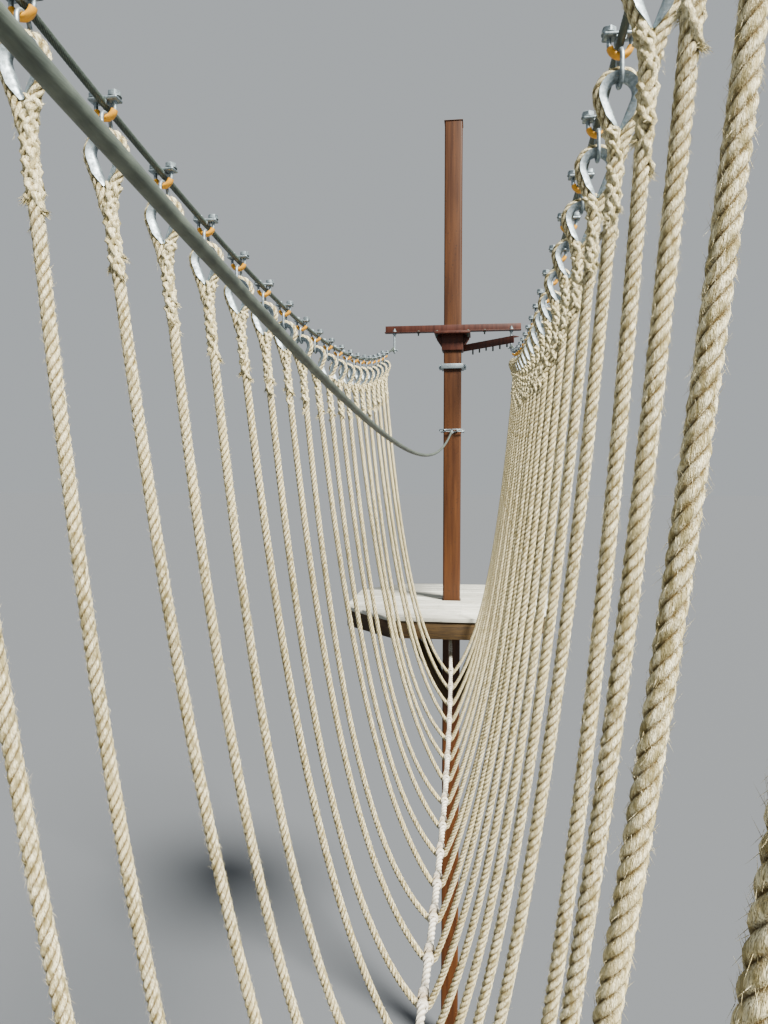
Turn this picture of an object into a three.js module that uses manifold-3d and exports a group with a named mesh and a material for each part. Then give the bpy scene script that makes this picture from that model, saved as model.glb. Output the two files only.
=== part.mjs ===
// Rope suspension footbridge between two posts with platforms.
// Millimetres. Origin under the near post on the ground, +Y along the bridge, +Z up.

import * as THREE from 'three';
import { mergeVertices } from 'three/addons/utils/BufferGeometryUtils.js';
import Module from 'manifold-3d';

const wasm = await Module();
wasm.setup();

// Layout along the bridge
const DECK_Z = 5000;
const DECK_ACROSS = 2100;
const DECK_EDGE_HALF = 540;
const V_COUNT = 22;
const V_SPACING = 300;
const DECK_TO_FIRST_V = 80;
const FIRST_V_Y = DECK_ACROSS / 2 + DECK_TO_FIRST_V;
const LAST_V_Y = FIRST_V_Y + (V_COUNT - 1) * V_SPACING;
const SPAN = FIRST_V_Y + LAST_V_Y;
const MID_Y = SPAN / 2;
const GAP = 0.3;

// Plan of the lines: the cables draw together at mid-span, where the bridge has swung to the right
const BOW_HALF = 4120;
const CABLE_END_X = 600;
const CABLE_DRAW_IN = 38;
const CABLE_SWING = 29;
const FOOT_SWING = 98;

// Cables and ropes
const CABLE_R = 8;
const CABLE_END_Z = DECK_Z + 2620;
const CABLE_MID_Z = { left: DECK_Z + 2057, right: DECK_Z + 2152 };
const CABLE_SAG_RATE = { left: 0.0375 / 1000, right: 0.0275 / 1000 };
const FOOT_R = 17;
const FOOT_SIDES = 12;
const FOOT_MID_Z = DECK_Z - 767;
const FOOT_SAG_RATE = 0.03 / 1000;
const ROPE_R = 14;
const ROPE_SIDES = 6;
const LIFELINE_R = 9;
const LIFELINE_LOW = { y: 4350, z: DECK_Z + 1448 };
const LIFELINE_SAG_RATE = 0.0202 / 1000;
const LIFELINE_START = 260;
const LIFELINE_STEPS = 36;

// Degrees above the level at which each V rope leaves the foot line, from the near end on
const FOOT_ANGLES = {
  left: [50, 46, 57, 45, 62, 52, 48, 55, 47, 51, 44, 56, 49, 53, 46, 58, 50, 45, 54, 48, 52, 47],
  right: [52, 59, 46, 24, 57, 60, 62, 64, 66, 68, 67, 69, 66, 68, 67, 68, 66, 66, 64, 60, 56, 51],
};
const LEG_STEPS = 8;
const LEG_CROWDING = 1.6;
const BEND_CLEARANCE = 0.4;

// Hanger of one V rope, measured down from the centre of the hand cable
const CLIP_HALF = 28;
const CLIP_ROD = 10;
const SADDLE = { x: 62, y: 32, z: 8, bite: 0.8 };
const BOW_INSIDE_Z = -25;
const LINK_ROD = 10;
const LINK_HALF = 26;
const LINK_SHOULDER = 8;
const LINK_TOP_Z = -15;
const LINK_BOTTOM_Z = -95;
const LINK_BITE = 0.5;
const EYE_INNER_R = 25;
const EYE_OUTER_R = 56;
const EYE_TIP_Z = -186;
const EYE_CROTCH = 30;
const SPLICE_START = 20;
const SPLICE_LENGTH = 185;
const SPLICE_R = { top: 22, bottom: 17 };

// Posts and steelwork
const WELD = 5;
const POST_HALF = 90;
const POST_TOP_Z = DECK_Z + 4950;
const BASE_PLATE = { half: 210, thick: 25 };
const GUSSET = { length: 95, height: 180, thick: 12 };
const GUY_COLLAR = { z: DECK_Z + 2430, height: 65, wall: 26 };
const GUY_LUG = { reach: 26, width: 110, inset: 8 };
const HEAD_COLLAR = { low: DECK_Z + 2620, high: DECK_Z + 2780, wall: 20 };
const SEAT_PLATE = { halfX: 185, back: 125, front: 185, thick: 20 };
const ARM = { half: 700, low: DECK_Z + 2800 + GAP, leg: 80, thick: 8 };
const SIDE_ARM = {
  start: { x: 50, y: 30 },
  end: { x: 612, y: 570 },
  low: DECK_Z + 2600,
  leg: 70,
  thick: 7,
};
const EYE_BOLT = { y: POST_HALF + 45, rod: 12, ring: 34, thick: 22, nut: 22, nutHigh: 20, stub: 16 };
const LUG = { thick: 12, slotY: 18, slotZ: 22, rim: 16 };
const SHACKLE = { bar: 14, halfX: 27, length: 88, bite: 4 };
const FOOT_COLLAR = { z: DECK_Z - 310, height: 60, wall: 22 };
const FOOT_LUG_Y = POST_HALF + FOOT_COLLAR.wall + 40;
const CHAIN_RING = { wall: 26, height: 30 };
const CHAIN_LEG = { radius: 13, sides: 8, start: 12 };

// Platforms
const DECK_THICK = 40;
const FRAME_DEPTH = 165;
const RIM_INSET = 15;
const RIM_THICK = 55;
const JOIST_THICK = 50;
const JOIST_RISE = 20;
const BRACE = { half: 38, top: 440, rise: 40, foot: 54, footZ: DECK_Z - 1060, spare: 120 };

const paint = (color, roughness, metalness) =>
  new THREE.MeshStandardMaterial({ color, roughness, metalness });
const HEMP = paint(0xc9bfa3, 0.95, 0);
const GALVANISED = paint(0x9aa3a3, 0.45, 0.9);
const WIRE = paint(0x6e7470, 0.5, 0.8);
const POST_PAINT = paint(0x8a4a1e, 0.6, 0.1);
const ARM_PAINT = paint(0x8b3a22, 0.55, 0.2);
const BOARDS = paint(0xb9bab5, 0.85, 0);
const TIMBER = paint(0x6f522f, 0.8, 0);
const FOOT_ROPE = paint(0xe0d8cc, 0.85, 0);
const SHEATH = paint(0x5a6258, 0.6, 0);

const bridge = new THREE.Group();

// A route that passes through its own points one by one, whatever their spacing
class Route extends THREE.Curve {
  constructor(points) {
    super();
    this.points = points;
  }

  getPoint(t, target = new THREE.Vector3()) {
    const place = Math.min(Math.max(t, 0), 1) * (this.points.length - 1);
    const from = Math.min(Math.floor(place), this.points.length - 2);
    return target.lerpVectors(this.points[from], this.points[from + 1], place - from);
  }

  getTangent(t, target = new THREE.Vector3()) {
    const last = this.points.length - 1;
    const at = Math.round(t * last);
    const before = this.points[Math.max(at - 1, 0)];
    const after = this.points[Math.min(at + 1, last)];
    const here = this.points[at];
    const arriving = here.clone().sub(before).normalize();
    const leaving = after.clone().sub(here).normalize();
    return target.copy(arriving.add(leaving)).normalize();
  }

  getUtoTmapping(u) {
    return u;
  }
}

// Regular section whose flats touch a circle of the given radius
function roundSection(radius, sides) {
  const corner = radius / Math.cos(Math.PI / sides);
  const turn = sides === 8 ? Math.PI / 8 : 0;
  const section = new THREE.Shape();
  for (let i = 0; i < sides; i += 1) {
    const angle = turn + (i * 2 * Math.PI) / sides;
    const x = corner * Math.cos(angle);
    const y = corner * Math.sin(angle);
    if (i === 0) section.moveTo(x, y);
    else section.lineTo(x, y);
  }
  section.closePath();
  return section;
}

function rope(points, radius, sides) {
  return new THREE.ExtrudeGeometry(roundSection(radius, sides), {
    steps: points.length - 1,
    extrudePath: new Route(points),
    bevelEnabled: false,
  });
}

function box(low, high) {
  const size = high.clone().sub(low);
  const geometry = new THREE.BoxGeometry(size.x, size.y, size.z);
  return geometry.translate((low.x + high.x) / 2, (low.y + high.y) / 2, (low.z + high.z) / 2);
}

const at = (x, y, z) => new THREE.Vector3(x, y, z);

// Outline drawn in X and Z, made thick along Y about the given place
function plateAcross(shape, thickness, x, y, z) {
  const geometry = new THREE.ExtrudeGeometry(shape, { depth: thickness, bevelEnabled: false });
  return geometry.rotateX(Math.PI / 2).translate(x, y + thickness / 2, z);
}

// Outline drawn in Y and Z, made thick along X about the given place
function plateAlong(shape, thickness, x, y, z) {
  const geometry = new THREE.ExtrudeGeometry(shape, { depth: thickness, bevelEnabled: false });
  return geometry.rotateX(Math.PI / 2).rotateZ(Math.PI / 2).translate(x - thickness / 2, y, z);
}

// Outline drawn in X and Y, made thick upwards from the given height
function slab(shape, thickness, z) {
  const geometry = new THREE.ExtrudeGeometry(shape, { depth: thickness, bevelEnabled: false });
  return geometry.translate(0, 0, z);
}

function outline(points, hole) {
  const corners = points.map(([x, y]) => new THREE.Vector2(x, y));
  if (THREE.ShapeUtils.isClockWise(corners)) corners.reverse();
  const shape = new THREE.Shape(corners);
  if (hole) shape.holes.push(new THREE.Path(hole.map(([x, y]) => new THREE.Vector2(x, y))));
  return shape;
}

// Points on an arc, angles in degrees
function arc(x, y, radius, from, to, steps) {
  const points = [];
  for (let i = 0; i <= steps; i += 1) {
    const angle = THREE.MathUtils.degToRad(from + ((to - from) * i) / steps);
    points.push([x + radius * Math.cos(angle), y + radius * Math.sin(angle)]);
  }
  return points;
}

function rectangle(halfX, halfY) {
  return [[-halfX, -halfY], [halfX, -halfY], [halfX, halfY], [-halfX, halfY]];
}

function solid(geometry) {
  const bare = geometry.clone();
  bare.deleteAttribute('normal');
  bare.deleteAttribute('uv');
  const merged = mergeVertices(bare, 1e-4);
  return new wasm.Manifold(new wasm.Mesh({
    numProp: 3,
    vertProperties: new Float32Array(merged.attributes.position.array),
    triVerts: new Uint32Array(merged.index.array),
  }));
}

function shapeOf(manifold) {
  const mesh = manifold.getMesh();
  const geometry = new THREE.BufferGeometry();
  geometry.setAttribute('position', new THREE.BufferAttribute(new Float32Array(mesh.vertProperties), 3));
  geometry.setIndex(new THREE.BufferAttribute(new Uint32Array(mesh.triVerts), 1));
  return geometry;
}

function joined(geometries) {
  return geometries.map(solid).reduce((whole, piece) => whole.add(piece));
}

function cutBy(manifold, geometries) {
  return geometries.map(solid).reduce((whole, piece) => whole.subtract(piece), manifold);
}

// The far half is the near half seen in a mirror at mid-span
function mirroredAcrossSpan(geometry) {
  const whole = geometry.index ? geometry : mergeVertices(geometry);
  const position = whole.attributes.position;
  for (let i = 0; i < position.count; i += 1) position.setY(i, SPAN - position.getY(i));
  const index = whole.index.array;
  for (let i = 0; i < index.length; i += 3) {
    const second = index[i + 1];
    index[i + 1] = index[i + 2];
    index[i + 2] = second;
  }
  whole.deleteAttribute('normal');
  return whole;
}

function addPiece(name, geometry, material) {
  if (!geometry.attributes.normal) geometry.computeVertexNormals();
  const mesh = new THREE.Mesh(geometry, material.clone());
  mesh.name = name;
  bridge.add(mesh);
}

// Places of the lines along the bridge
const bow = (y) => 1 - ((y - MID_Y) / BOW_HALF) ** 2;
const signOf = (side) => (side === 'left' ? -1 : 1);
const cableX = (side, y) => signOf(side) * (CABLE_END_X - CABLE_DRAW_IN * bow(y)) + CABLE_SWING * bow(y);
const cableZ = (side, y) => CABLE_MID_Z[side] + CABLE_SAG_RATE[side] * (y - MID_Y) ** 2;
const footX = (y) => FOOT_SWING * bow(y);
const footZ = (y) => FOOT_MID_Z + FOOT_SAG_RATE * (y - MID_Y) ** 2;
const lifelineZ = (y) => LIFELINE_LOW.z + LIFELINE_SAG_RATE * (y - LIFELINE_LOW.y) ** 2;
const vRopeY = (index) => FIRST_V_Y + index * V_SPACING;

// V rope: loaded curves from the foot line up to each thimble, with their eyes and splices

// Distance from the foot line's centre to the V rope's centre below it, more where the line slopes
function underFootLine(y) {
  const slope = 2 * FOOT_SAG_RATE * (Math.abs(y - MID_Y) + 2 * V_SPACING);
  const footCorner = FOOT_R / Math.cos(Math.PI / FOOT_SIDES);
  const slopeRoom = slope * ROPE_R * Math.tan(Math.PI / ROPE_SIDES);
  return footCorner + ROPE_R + GAP + BEND_CLEARANCE + slopeRoom;
}

// Slack of the loaded curve that starts at the given slope and reaches the given width and height
function curveSlack(width, height, slope) {
  let low = 20;
  let high = 6000;
  for (let i = 0; i < 60; i += 1) {
    const slack = (low + high) / 2;
    const rise = height / slack + Math.hypot(slope, 1);
    const reach = slack * (Math.asinh(Math.sqrt(rise * rise - 1)) - Math.asinh(slope));
    if (reach > width) high = slack;
    else low = slack;
  }
  return (low + high) / 2;
}

// Points of one leg as distances out and up: where it leaves the foot line, then on to the thimble
function legPoints(width, height, angle, under) {
  const start = { out: under * Math.sin(angle), up: -under * Math.cos(angle) };
  const slope = Math.tan(angle);
  const slack = curveSlack(width - start.out, height - start.up, slope);
  const rise = (height - start.up) / slack + Math.hypot(slope, 1);
  const turns = Math.sqrt(rise * rise - 1) - slope;
  const points = [];
  for (let i = 0; i <= LEG_STEPS; i += 1) {
    const along = slope + turns * (i / LEG_STEPS) ** LEG_CROWDING;
    const out = start.out + slack * (Math.asinh(along) - Math.asinh(slope));
    const up = start.up + slack * (Math.hypot(along, 1) - Math.hypot(slope, 1));
    points.push([out, up]);
  }
  return points;
}

// Rope eye round its thimble, running down into the thicker splice, as seen along the bridge
function eyeShape(lean) {
  const flatTop = EYE_INNER_R * Math.cos(Math.PI / 6);
  const centre = LINK_BOTTOM_Z + LINK_ROD - LINK_BITE + GAP - flatTop;
  const throatX = lean * SPLICE_START;
  const throatZ = EYE_TIP_Z - SPLICE_START;
  const bottomX = lean * SPLICE_LENGTH;
  const bottomZ = EYE_TIP_Z - SPLICE_LENGTH;
  const outer = [
    ...arc(0, centre, EYE_OUTER_R, -10, 190, 5),
    [throatX - SPLICE_R.top, throatZ],
    [bottomX - SPLICE_R.bottom, bottomZ],
    [bottomX + SPLICE_R.bottom, bottomZ],
    [throatX + SPLICE_R.top, throatZ],
  ];
  const hole = [...arc(0, centre, EYE_INNER_R, 0, 180, 3), [0, EYE_TIP_Z + EYE_CROTCH]];
  return outline(outer, hole);
}

function vRope(index) {
  const y = vRopeY(index);
  const foot = at(footX(y), y, footZ(y));
  const under = underFootLine(y);
  const eyes = [];
  const halves = ['left', 'right'].map((side) => {
    const sign = signOf(side);
    const angle = THREE.MathUtils.degToRad(FOOT_ANGLES[side][index]);
    const cable = at(cableX(side, y), y, cableZ(side, y));
    const width = sign * (cable.x - foot.x);
    const height = cable.z + EYE_TIP_Z - foot.z;
    const leg = legPoints(width, height, angle, under)
      .map(([out, up]) => at(foot.x + sign * out, y, foot.z + up));
    const top = leg[LEG_STEPS].clone().sub(leg[LEG_STEPS - 1]);
    const shape = eyeShape(-top.x / top.z);
    eyes.push(plateAcross(shape, 2 * ROPE_R, cable.x, y, cable.z));
    return [at(foot.x + sign * under * Math.tan(angle / 2), y, foot.z - under), ...leg];
  });
  const route = [...halves[0].reverse(), ...halves[1]];
  return shapeOf(joined([rope(route, ROPE_R, ROPE_SIDES), ...eyes]));
}

for (let i = 0; i < V_COUNT; i += 1) {
  addPiece(`v_rope_${String(i + 1).padStart(2, '0')}`, vRope(i), HEMP);
}

// Hand cables, each with its clips and links

function clipBow(x, y, z) {
  const inside = CLIP_HALF - CLIP_ROD;
  const centre = BOW_INSIDE_Z + inside;
  const top = CABLE_R + SADDLE.z / 2;
  const outer = [
    ...arc(0, centre, CLIP_HALF, 180, 360, 5),
    [CLIP_HALF, top],
    [-CLIP_HALF, top],
  ];
  const hole = [...arc(0, centre, inside, 180, 360, 3), [inside, CABLE_R], [-inside, CABLE_R]];
  return plateAcross(outline(outer, hole), CLIP_ROD, x, y, z);
}

function saddle(x, y, z) {
  const low = at(x - SADDLE.x / 2, y - SADDLE.y / 2, z + CABLE_R - SADDLE.bite);
  return box(low, at(x + SADDLE.x / 2, y + SADDLE.y / 2, z + CABLE_R + SADDLE.z));
}

function link(x, y, z) {
  const inside = LINK_HALF - LINK_ROD;
  const flat = LINK_HALF - LINK_SHOULDER;
  const outer = [
    [-LINK_HALF, LINK_BOTTOM_Z + LINK_SHOULDER],
    [-flat, LINK_BOTTOM_Z],
    [flat, LINK_BOTTOM_Z],
    [LINK_HALF, LINK_BOTTOM_Z + LINK_SHOULDER],
    [LINK_HALF, LINK_TOP_Z - LINK_SHOULDER],
    [flat, LINK_TOP_Z],
    [-flat, LINK_TOP_Z],
    [-LINK_HALF, LINK_TOP_Z - LINK_SHOULDER],
  ];
  const hole = [
    [-inside, LINK_BOTTOM_Z + LINK_ROD],
    [inside, LINK_BOTTOM_Z + LINK_ROD],
    [inside, LINK_TOP_Z - LINK_ROD],
    [-inside, LINK_TOP_Z - LINK_ROD],
  ];
  return plateAlong(outline(outer, hole), LINK_ROD, x, y, z - LINK_BITE);
}

// Closed shackle lying in X and Y, whose near bar sits in the slot of what holds it
function shackleRing(x, y, z, direction) {
  const inner = SHACKLE.halfX - SHACKLE.bar;
  const far = direction * SHACKLE.length;
  const outer = [[-SHACKLE.halfX, 0], [SHACKLE.halfX, 0], [SHACKLE.halfX, far], [-SHACKLE.halfX, far]];
  const holeNear = direction * SHACKLE.bar;
  const holeFar = far - holeNear;
  const hole = [[-inner, holeNear], [inner, holeNear], [inner, holeFar], [-inner, holeFar]];
  const low = slab(outline(outer, hole), SHACKLE.bar, z - SHACKLE.bar / 2);
  return low.translate(x, y, 0);
}

// Near edge of the shackle whose bar bears on the front of a slot
const shackleStart = (slotY) => slotY + LUG.slotY / 2 - GAP - SHACKLE.bar;

// Straight from the shackle to the first V rope, then from V rope to V rope
function lineRoute(endY, endX, endZ, xAt, zAt) {
  const points = [at(endX, endY, endZ)];
  for (let i = 0; i < V_COUNT; i += 1) {
    const y = vRopeY(i);
    points.push(at(xAt(y), y, zAt(y)));
  }
  points.push(at(endX, SPAN - endY, endZ));
  return points;
}

function handCable(side) {
  const endX = signOf(side) * CABLE_END_X;
  const startY = shackleStart(EYE_BOLT.y);
  const endY = startY + SHACKLE.length - SHACKLE.bite;
  const route = lineRoute(endY, endX, CABLE_END_Z, (y) => cableX(side, y), (y) => cableZ(side, y));
  const pieces = [rope(route, CABLE_R, ROPE_SIDES)];
  pieces.push(shackleRing(endX, startY, CABLE_END_Z, 1));
  pieces.push(shackleRing(endX, SPAN - startY, CABLE_END_Z, -1));
  for (let i = 0; i < V_COUNT; i += 1) {
    const y = vRopeY(i);
    const x = cableX(side, y);
    const z = cableZ(side, y);
    pieces.push(clipBow(x, y, z), saddle(x, y, z), link(x, y, z));
  }
  return shapeOf(joined(pieces));
}

addPiece('left_hand_cable', handCable('left'), WIRE);
addPiece('right_hand_cable', handCable('right'), WIRE);

// Foot line, on the V ropes all the way, with a shackle at each post

function footLine() {
  const startY = shackleStart(FOOT_LUG_Y);
  const endY = startY + SHACKLE.length - SHACKLE.bite;
  const endZ = footZ(endY);
  return shapeOf(joined([
    rope(lineRoute(endY, 0, endZ, footX, footZ), FOOT_R, FOOT_SIDES),
    shackleRing(0, startY, endZ, 1),
    shackleRing(0, SPAN - startY, endZ, -1),
  ]));
}

addPiece('foot_line', footLine(), FOOT_ROPE);

// Lifeline that sags from one post to the other between the hand cables

const LIFELINE_ENDS = [POST_HALF + LIFELINE_START, SPAN - POST_HALF - LIFELINE_START];

function lifeline() {
  const points = [];
  for (let i = 0; i <= LIFELINE_STEPS; i += 1) {
    const y = THREE.MathUtils.lerp(LIFELINE_ENDS[0], LIFELINE_ENDS[1], i / LIFELINE_STEPS);
    points.push(at(0, y, lifelineZ(y)));
  }
  return rope(points, LIFELINE_R, 8);
}

addPiece('lifeline', lifeline(), SHEATH);

// Steelwork of one post, drawn for the near end

const postHole = rectangle(POST_HALF + GAP, POST_HALF + GAP);

function postSleeve(wall, height, z) {
  const reach = POST_HALF + GAP + wall;
  return slab(outline(rectangle(reach, reach), postHole), height, z);
}

// The room that the post takes, for cutting pieces that stand against it
function postRoom(lowZ, highZ, clear) {
  return box(at(-clear, -clear, lowZ), at(clear, clear, highZ));
}

function post() {
  const pieces = [
    box(at(-POST_HALF, -POST_HALF, 0), at(POST_HALF, POST_HALF, POST_TOP_Z)),
    box(at(-BASE_PLATE.half, -BASE_PLATE.half, 0), at(BASE_PLATE.half, BASE_PLATE.half, BASE_PLATE.thick)),
  ];
  const gusset = outline([
    [POST_HALF - WELD, BASE_PLATE.thick - WELD],
    [POST_HALF + GUSSET.length, BASE_PLATE.thick - WELD],
    [POST_HALF, BASE_PLATE.thick + GUSSET.height],
    [POST_HALF - WELD, BASE_PLATE.thick + GUSSET.height],
  ]);
  for (let i = 0; i < 4; i += 1) {
    pieces.push(plateAcross(gusset, GUSSET.thick, 0, 0, 0).rotateZ((i * Math.PI) / 2));
  }
  return joined(pieces);
}

function guyCollar() {
  const reach = POST_HALF + GAP + GUY_COLLAR.wall + GUY_LUG.reach;
  const half = GUY_LUG.width / 2;
  const low = GUY_COLLAR.z + GUY_LUG.inset;
  const high = GUY_COLLAR.z + GUY_COLLAR.height;
  const band = joined([
    postSleeve(GUY_COLLAR.wall, GUY_COLLAR.height, GUY_COLLAR.z),
    box(at(-reach, -half, low), at(reach, half, high - GUY_LUG.inset)),
  ]);
  return cutBy(band, [postRoom(GUY_COLLAR.z - reach, high + reach, POST_HALF + GAP)]);
}

function headCollar() {
  const seat = outline([
    [-SEAT_PLATE.halfX, -SEAT_PLATE.back],
    [SEAT_PLATE.halfX, -SEAT_PLATE.back],
    [SEAT_PLATE.halfX, SEAT_PLATE.front],
    [-SEAT_PLATE.halfX, SEAT_PLATE.front],
  ], postHole);
  const height = HEAD_COLLAR.high - HEAD_COLLAR.low;
  return joined([
    postSleeve(HEAD_COLLAR.wall, height, HEAD_COLLAR.low),
    slab(seat, SEAT_PLATE.thick, HEAD_COLLAR.high),
  ]);
}

// Angle across the post on its seat plate, drilled near both ends for the eye bolts
function crossArm() {
  const back = POST_HALF + GAP;
  const high = ARM.low + ARM.leg;
  const angle = joined([
    box(at(-ARM.half, back, ARM.low), at(ARM.half, back + ARM.thick, high)),
    box(at(-ARM.half, back, ARM.low), at(ARM.half, back + ARM.leg, ARM.low + ARM.thick)),
  ]);
  const drill = roundSection(EYE_BOLT.rod + GAP, 8);
  return cutBy(angle, [-1, 1].map((sign) =>
    slab(drill, 3 * ARM.thick, ARM.low - ARM.thick).translate(sign * CABLE_END_X, EYE_BOLT.y, 0)));
}

// Bolt that hangs through the cross arm between two nuts, with the ring that holds a hand cable
function eyeBolt(side) {
  const top = ARM.low + ARM.thick + GAP + EYE_BOLT.nutHigh;
  const rodLow = CABLE_END_Z + LUG.slotZ / 2 + WELD;
  const ring = outline(
    arc(0, 0, EYE_BOLT.ring / Math.cos(Math.PI / 8), 22.5, 337.5, 7),
    rectangle(LUG.slotY / 2, LUG.slotZ / 2),
  );
  const nut = roundSection(EYE_BOLT.nut, 6);
  const bolt = joined([
    slab(roundSection(EYE_BOLT.rod, 8), top + EYE_BOLT.stub - rodLow, rodLow),
    slab(nut, EYE_BOLT.nutHigh, top - EYE_BOLT.nutHigh),
    slab(nut, EYE_BOLT.nutHigh, ARM.low - GAP - EYE_BOLT.nutHigh),
    plateAlong(ring, EYE_BOLT.thick, 0, 0, CABLE_END_Z),
  ]);
  return shapeOf(bolt).translate(signOf(side) * CABLE_END_X, EYE_BOLT.y, 0);
}

function sideArm() {
  const run = at(SIDE_ARM.end.x - SIDE_ARM.start.x, SIDE_ARM.end.y - SIDE_ARM.start.y, 0);
  const length = run.length();
  const low = SIDE_ARM.low;
  const high = low + SIDE_ARM.leg;
  const bar = joined([
    box(at(0, 0, low), at(length, SIDE_ARM.thick, high)),
    box(at(0, -SIDE_ARM.leg, high - SIDE_ARM.thick), at(length, SIDE_ARM.thick, high)),
  ]);
  const turned = shapeOf(bar).rotateZ(Math.atan2(run.y, run.x));
  const placed = solid(turned.translate(SIDE_ARM.start.x, SIDE_ARM.start.y, 0));
  const clear = POST_HALF + 2 * GAP + HEAD_COLLAR.wall;
  return cutBy(placed, [postRoom(low - SIDE_ARM.leg, high + SIDE_ARM.leg, clear)]);
}

// Collar below the platform, with a slotted plate for the foot line's shackle
function footCollar() {
  const z = footZ(shackleStart(FOOT_LUG_Y) + SHACKLE.length - SHACKLE.bite);
  const back = POST_HALF + FOOT_COLLAR.wall - WELD;
  const front = FOOT_LUG_Y + LUG.slotY / 2 + LUG.rim;
  const top = FOOT_COLLAR.z + FOOT_COLLAR.height;
  const plate = box(at(-LUG.thick / 2, back, z - LUG.slotZ / 2 - LUG.rim), at(LUG.thick / 2, front, top));
  const slot = box(
    at(-LUG.thick, FOOT_LUG_Y - LUG.slotY / 2, z - LUG.slotZ / 2),
    at(LUG.thick, FOOT_LUG_Y + LUG.slotY / 2, z + LUG.slotZ / 2),
  );
  const sleeve = postSleeve(FOOT_COLLAR.wall, FOOT_COLLAR.height, FOOT_COLLAR.z);
  return cutBy(joined([sleeve, plate]), [slot]);
}

// Chain slung round the post, with the leg that holds the lifeline's end
function chainSling(heightAt) {
  const startY = POST_HALF + CHAIN_RING.wall - CHAIN_LEG.start;
  const endY = LIFELINE_ENDS[0] - GAP;
  const z = heightAt(startY);
  const ring = postSleeve(CHAIN_RING.wall, CHAIN_RING.height, z - CHAIN_RING.height / 2);
  const leg = rope([at(0, startY, z), at(0, endY, heightAt(endY))], CHAIN_LEG.radius, CHAIN_LEG.sides);
  return joined([ring, leg]);
}

// Platform outline: a square with its corners cut off, drawn in from the deck's edge
function platformOutline(inset) {
  const reach = DECK_ACROSS / 2 - inset;
  const edge = DECK_EDGE_HALF - inset * Math.tan(Math.PI / 8);
  return [
    [-edge, -reach], [edge, -reach], [reach, -edge], [reach, edge],
    [edge, reach], [-edge, reach], [-reach, edge], [-reach, -edge],
  ];
}

function deck() {
  return slab(outline(platformOutline(0), postHole), DECK_THICK, DECK_Z - DECK_THICK);
}

function deckFrame() {
  const top = DECK_Z - DECK_THICK - GAP;
  const low = top - FRAME_DEPTH;
  const rim = outline(platformOutline(RIM_INSET), platformOutline(RIM_INSET + RIM_THICK));
  const reach = DECK_ACROSS / 2 - RIM_THICK;
  const offset = POST_HALF + GAP + JOIST_THICK / 2;
  const half = JOIST_THICK / 2;
  const pieces = [slab(rim, FRAME_DEPTH, low)];
  for (const place of [-offset, offset]) {
    pieces.push(box(at(place - half, -reach, low + JOIST_RISE), at(place + half, reach, top)));
    pieces.push(box(at(-reach, place - half, low + JOIST_RISE), at(reach, place + half, top)));
  }
  return joined(pieces);
}

function kneeBrace(signX, signY) {
  const frameLow = DECK_Z - DECK_THICK - GAP - FRAME_DEPTH;
  const foot = at(signX * BRACE.foot, signY * BRACE.foot, BRACE.footZ);
  const top = at(signX * BRACE.top, signY * BRACE.top, frameLow + BRACE.rise);
  const run = top.clone().sub(foot);
  const bar = new THREE.BoxGeometry(2 * BRACE.half, 2 * BRACE.half, run.length() + BRACE.spare);
  bar.rotateZ(Math.PI / 4);
  bar.applyQuaternion(new THREE.Quaternion().setFromUnitVectors(at(0, 0, 1), run.normalize()));
  bar.translate(...foot.clone().add(top).multiplyScalar(0.5).toArray());
  return cutBy(solid(bar), [
    postRoom(0, DECK_Z, POST_HALF + GAP),
    box(at(-DECK_ACROSS, -DECK_ACROSS, frameLow - GAP), at(DECK_ACROSS, DECK_ACROSS, DECK_Z)),
  ]);
}

function tower(prefix, place, lifelineHeight) {
  addPiece(`${prefix}_post`, place(shapeOf(post())), POST_PAINT);
  addPiece(`${prefix}_guy_collar`, place(shapeOf(guyCollar())), GALVANISED);
  addPiece(`${prefix}_head_collar`, place(shapeOf(headCollar())), ARM_PAINT);
  addPiece(`${prefix}_cross_arm`, place(shapeOf(crossArm())), ARM_PAINT);
  addPiece(`${prefix}_side_arm`, place(shapeOf(sideArm())), ARM_PAINT);
  addPiece(`${prefix}_left_eye_bolt`, place(eyeBolt('left')), GALVANISED);
  addPiece(`${prefix}_right_eye_bolt`, place(eyeBolt('right')), GALVANISED);
  addPiece(`${prefix}_chain_sling`, place(shapeOf(chainSling(lifelineHeight))), GALVANISED);
  addPiece(`${prefix}_foot_collar`, place(shapeOf(footCollar())), GALVANISED);
  addPiece(`${prefix}_deck`, place(deck()), BOARDS);
  addPiece(`${prefix}_deck_frame`, place(shapeOf(deckFrame())), TIMBER);
  const corners = [[-1, 1], [1, 1], [1, -1], [-1, -1]];
  corners.forEach(([signX, signY], i) => {
    addPiece(`${prefix}_knee_brace_${i + 1}`, place(shapeOf(kneeBrace(signX, signY))), TIMBER);
  });
}

tower('near', (geometry) => geometry, lifelineZ);
tower('far', mirroredAcrossSpan, (y) => lifelineZ(SPAN - y));

export default bridge;
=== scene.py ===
# %% [markdown]
# # A rope suspension footbridge
# Two steel posts with platforms carry two wire hand cables. Fibre ropes hang from the cables in a
# row of V shapes, and a foot line lies in the bottom of every V. The solid model gives each piece
# its size and place; this lesson gives each piece the shape and finish of the real one.

# %% Load the solid model
import math
import random

import bpy
import numpy as np
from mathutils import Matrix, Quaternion, Vector


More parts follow.
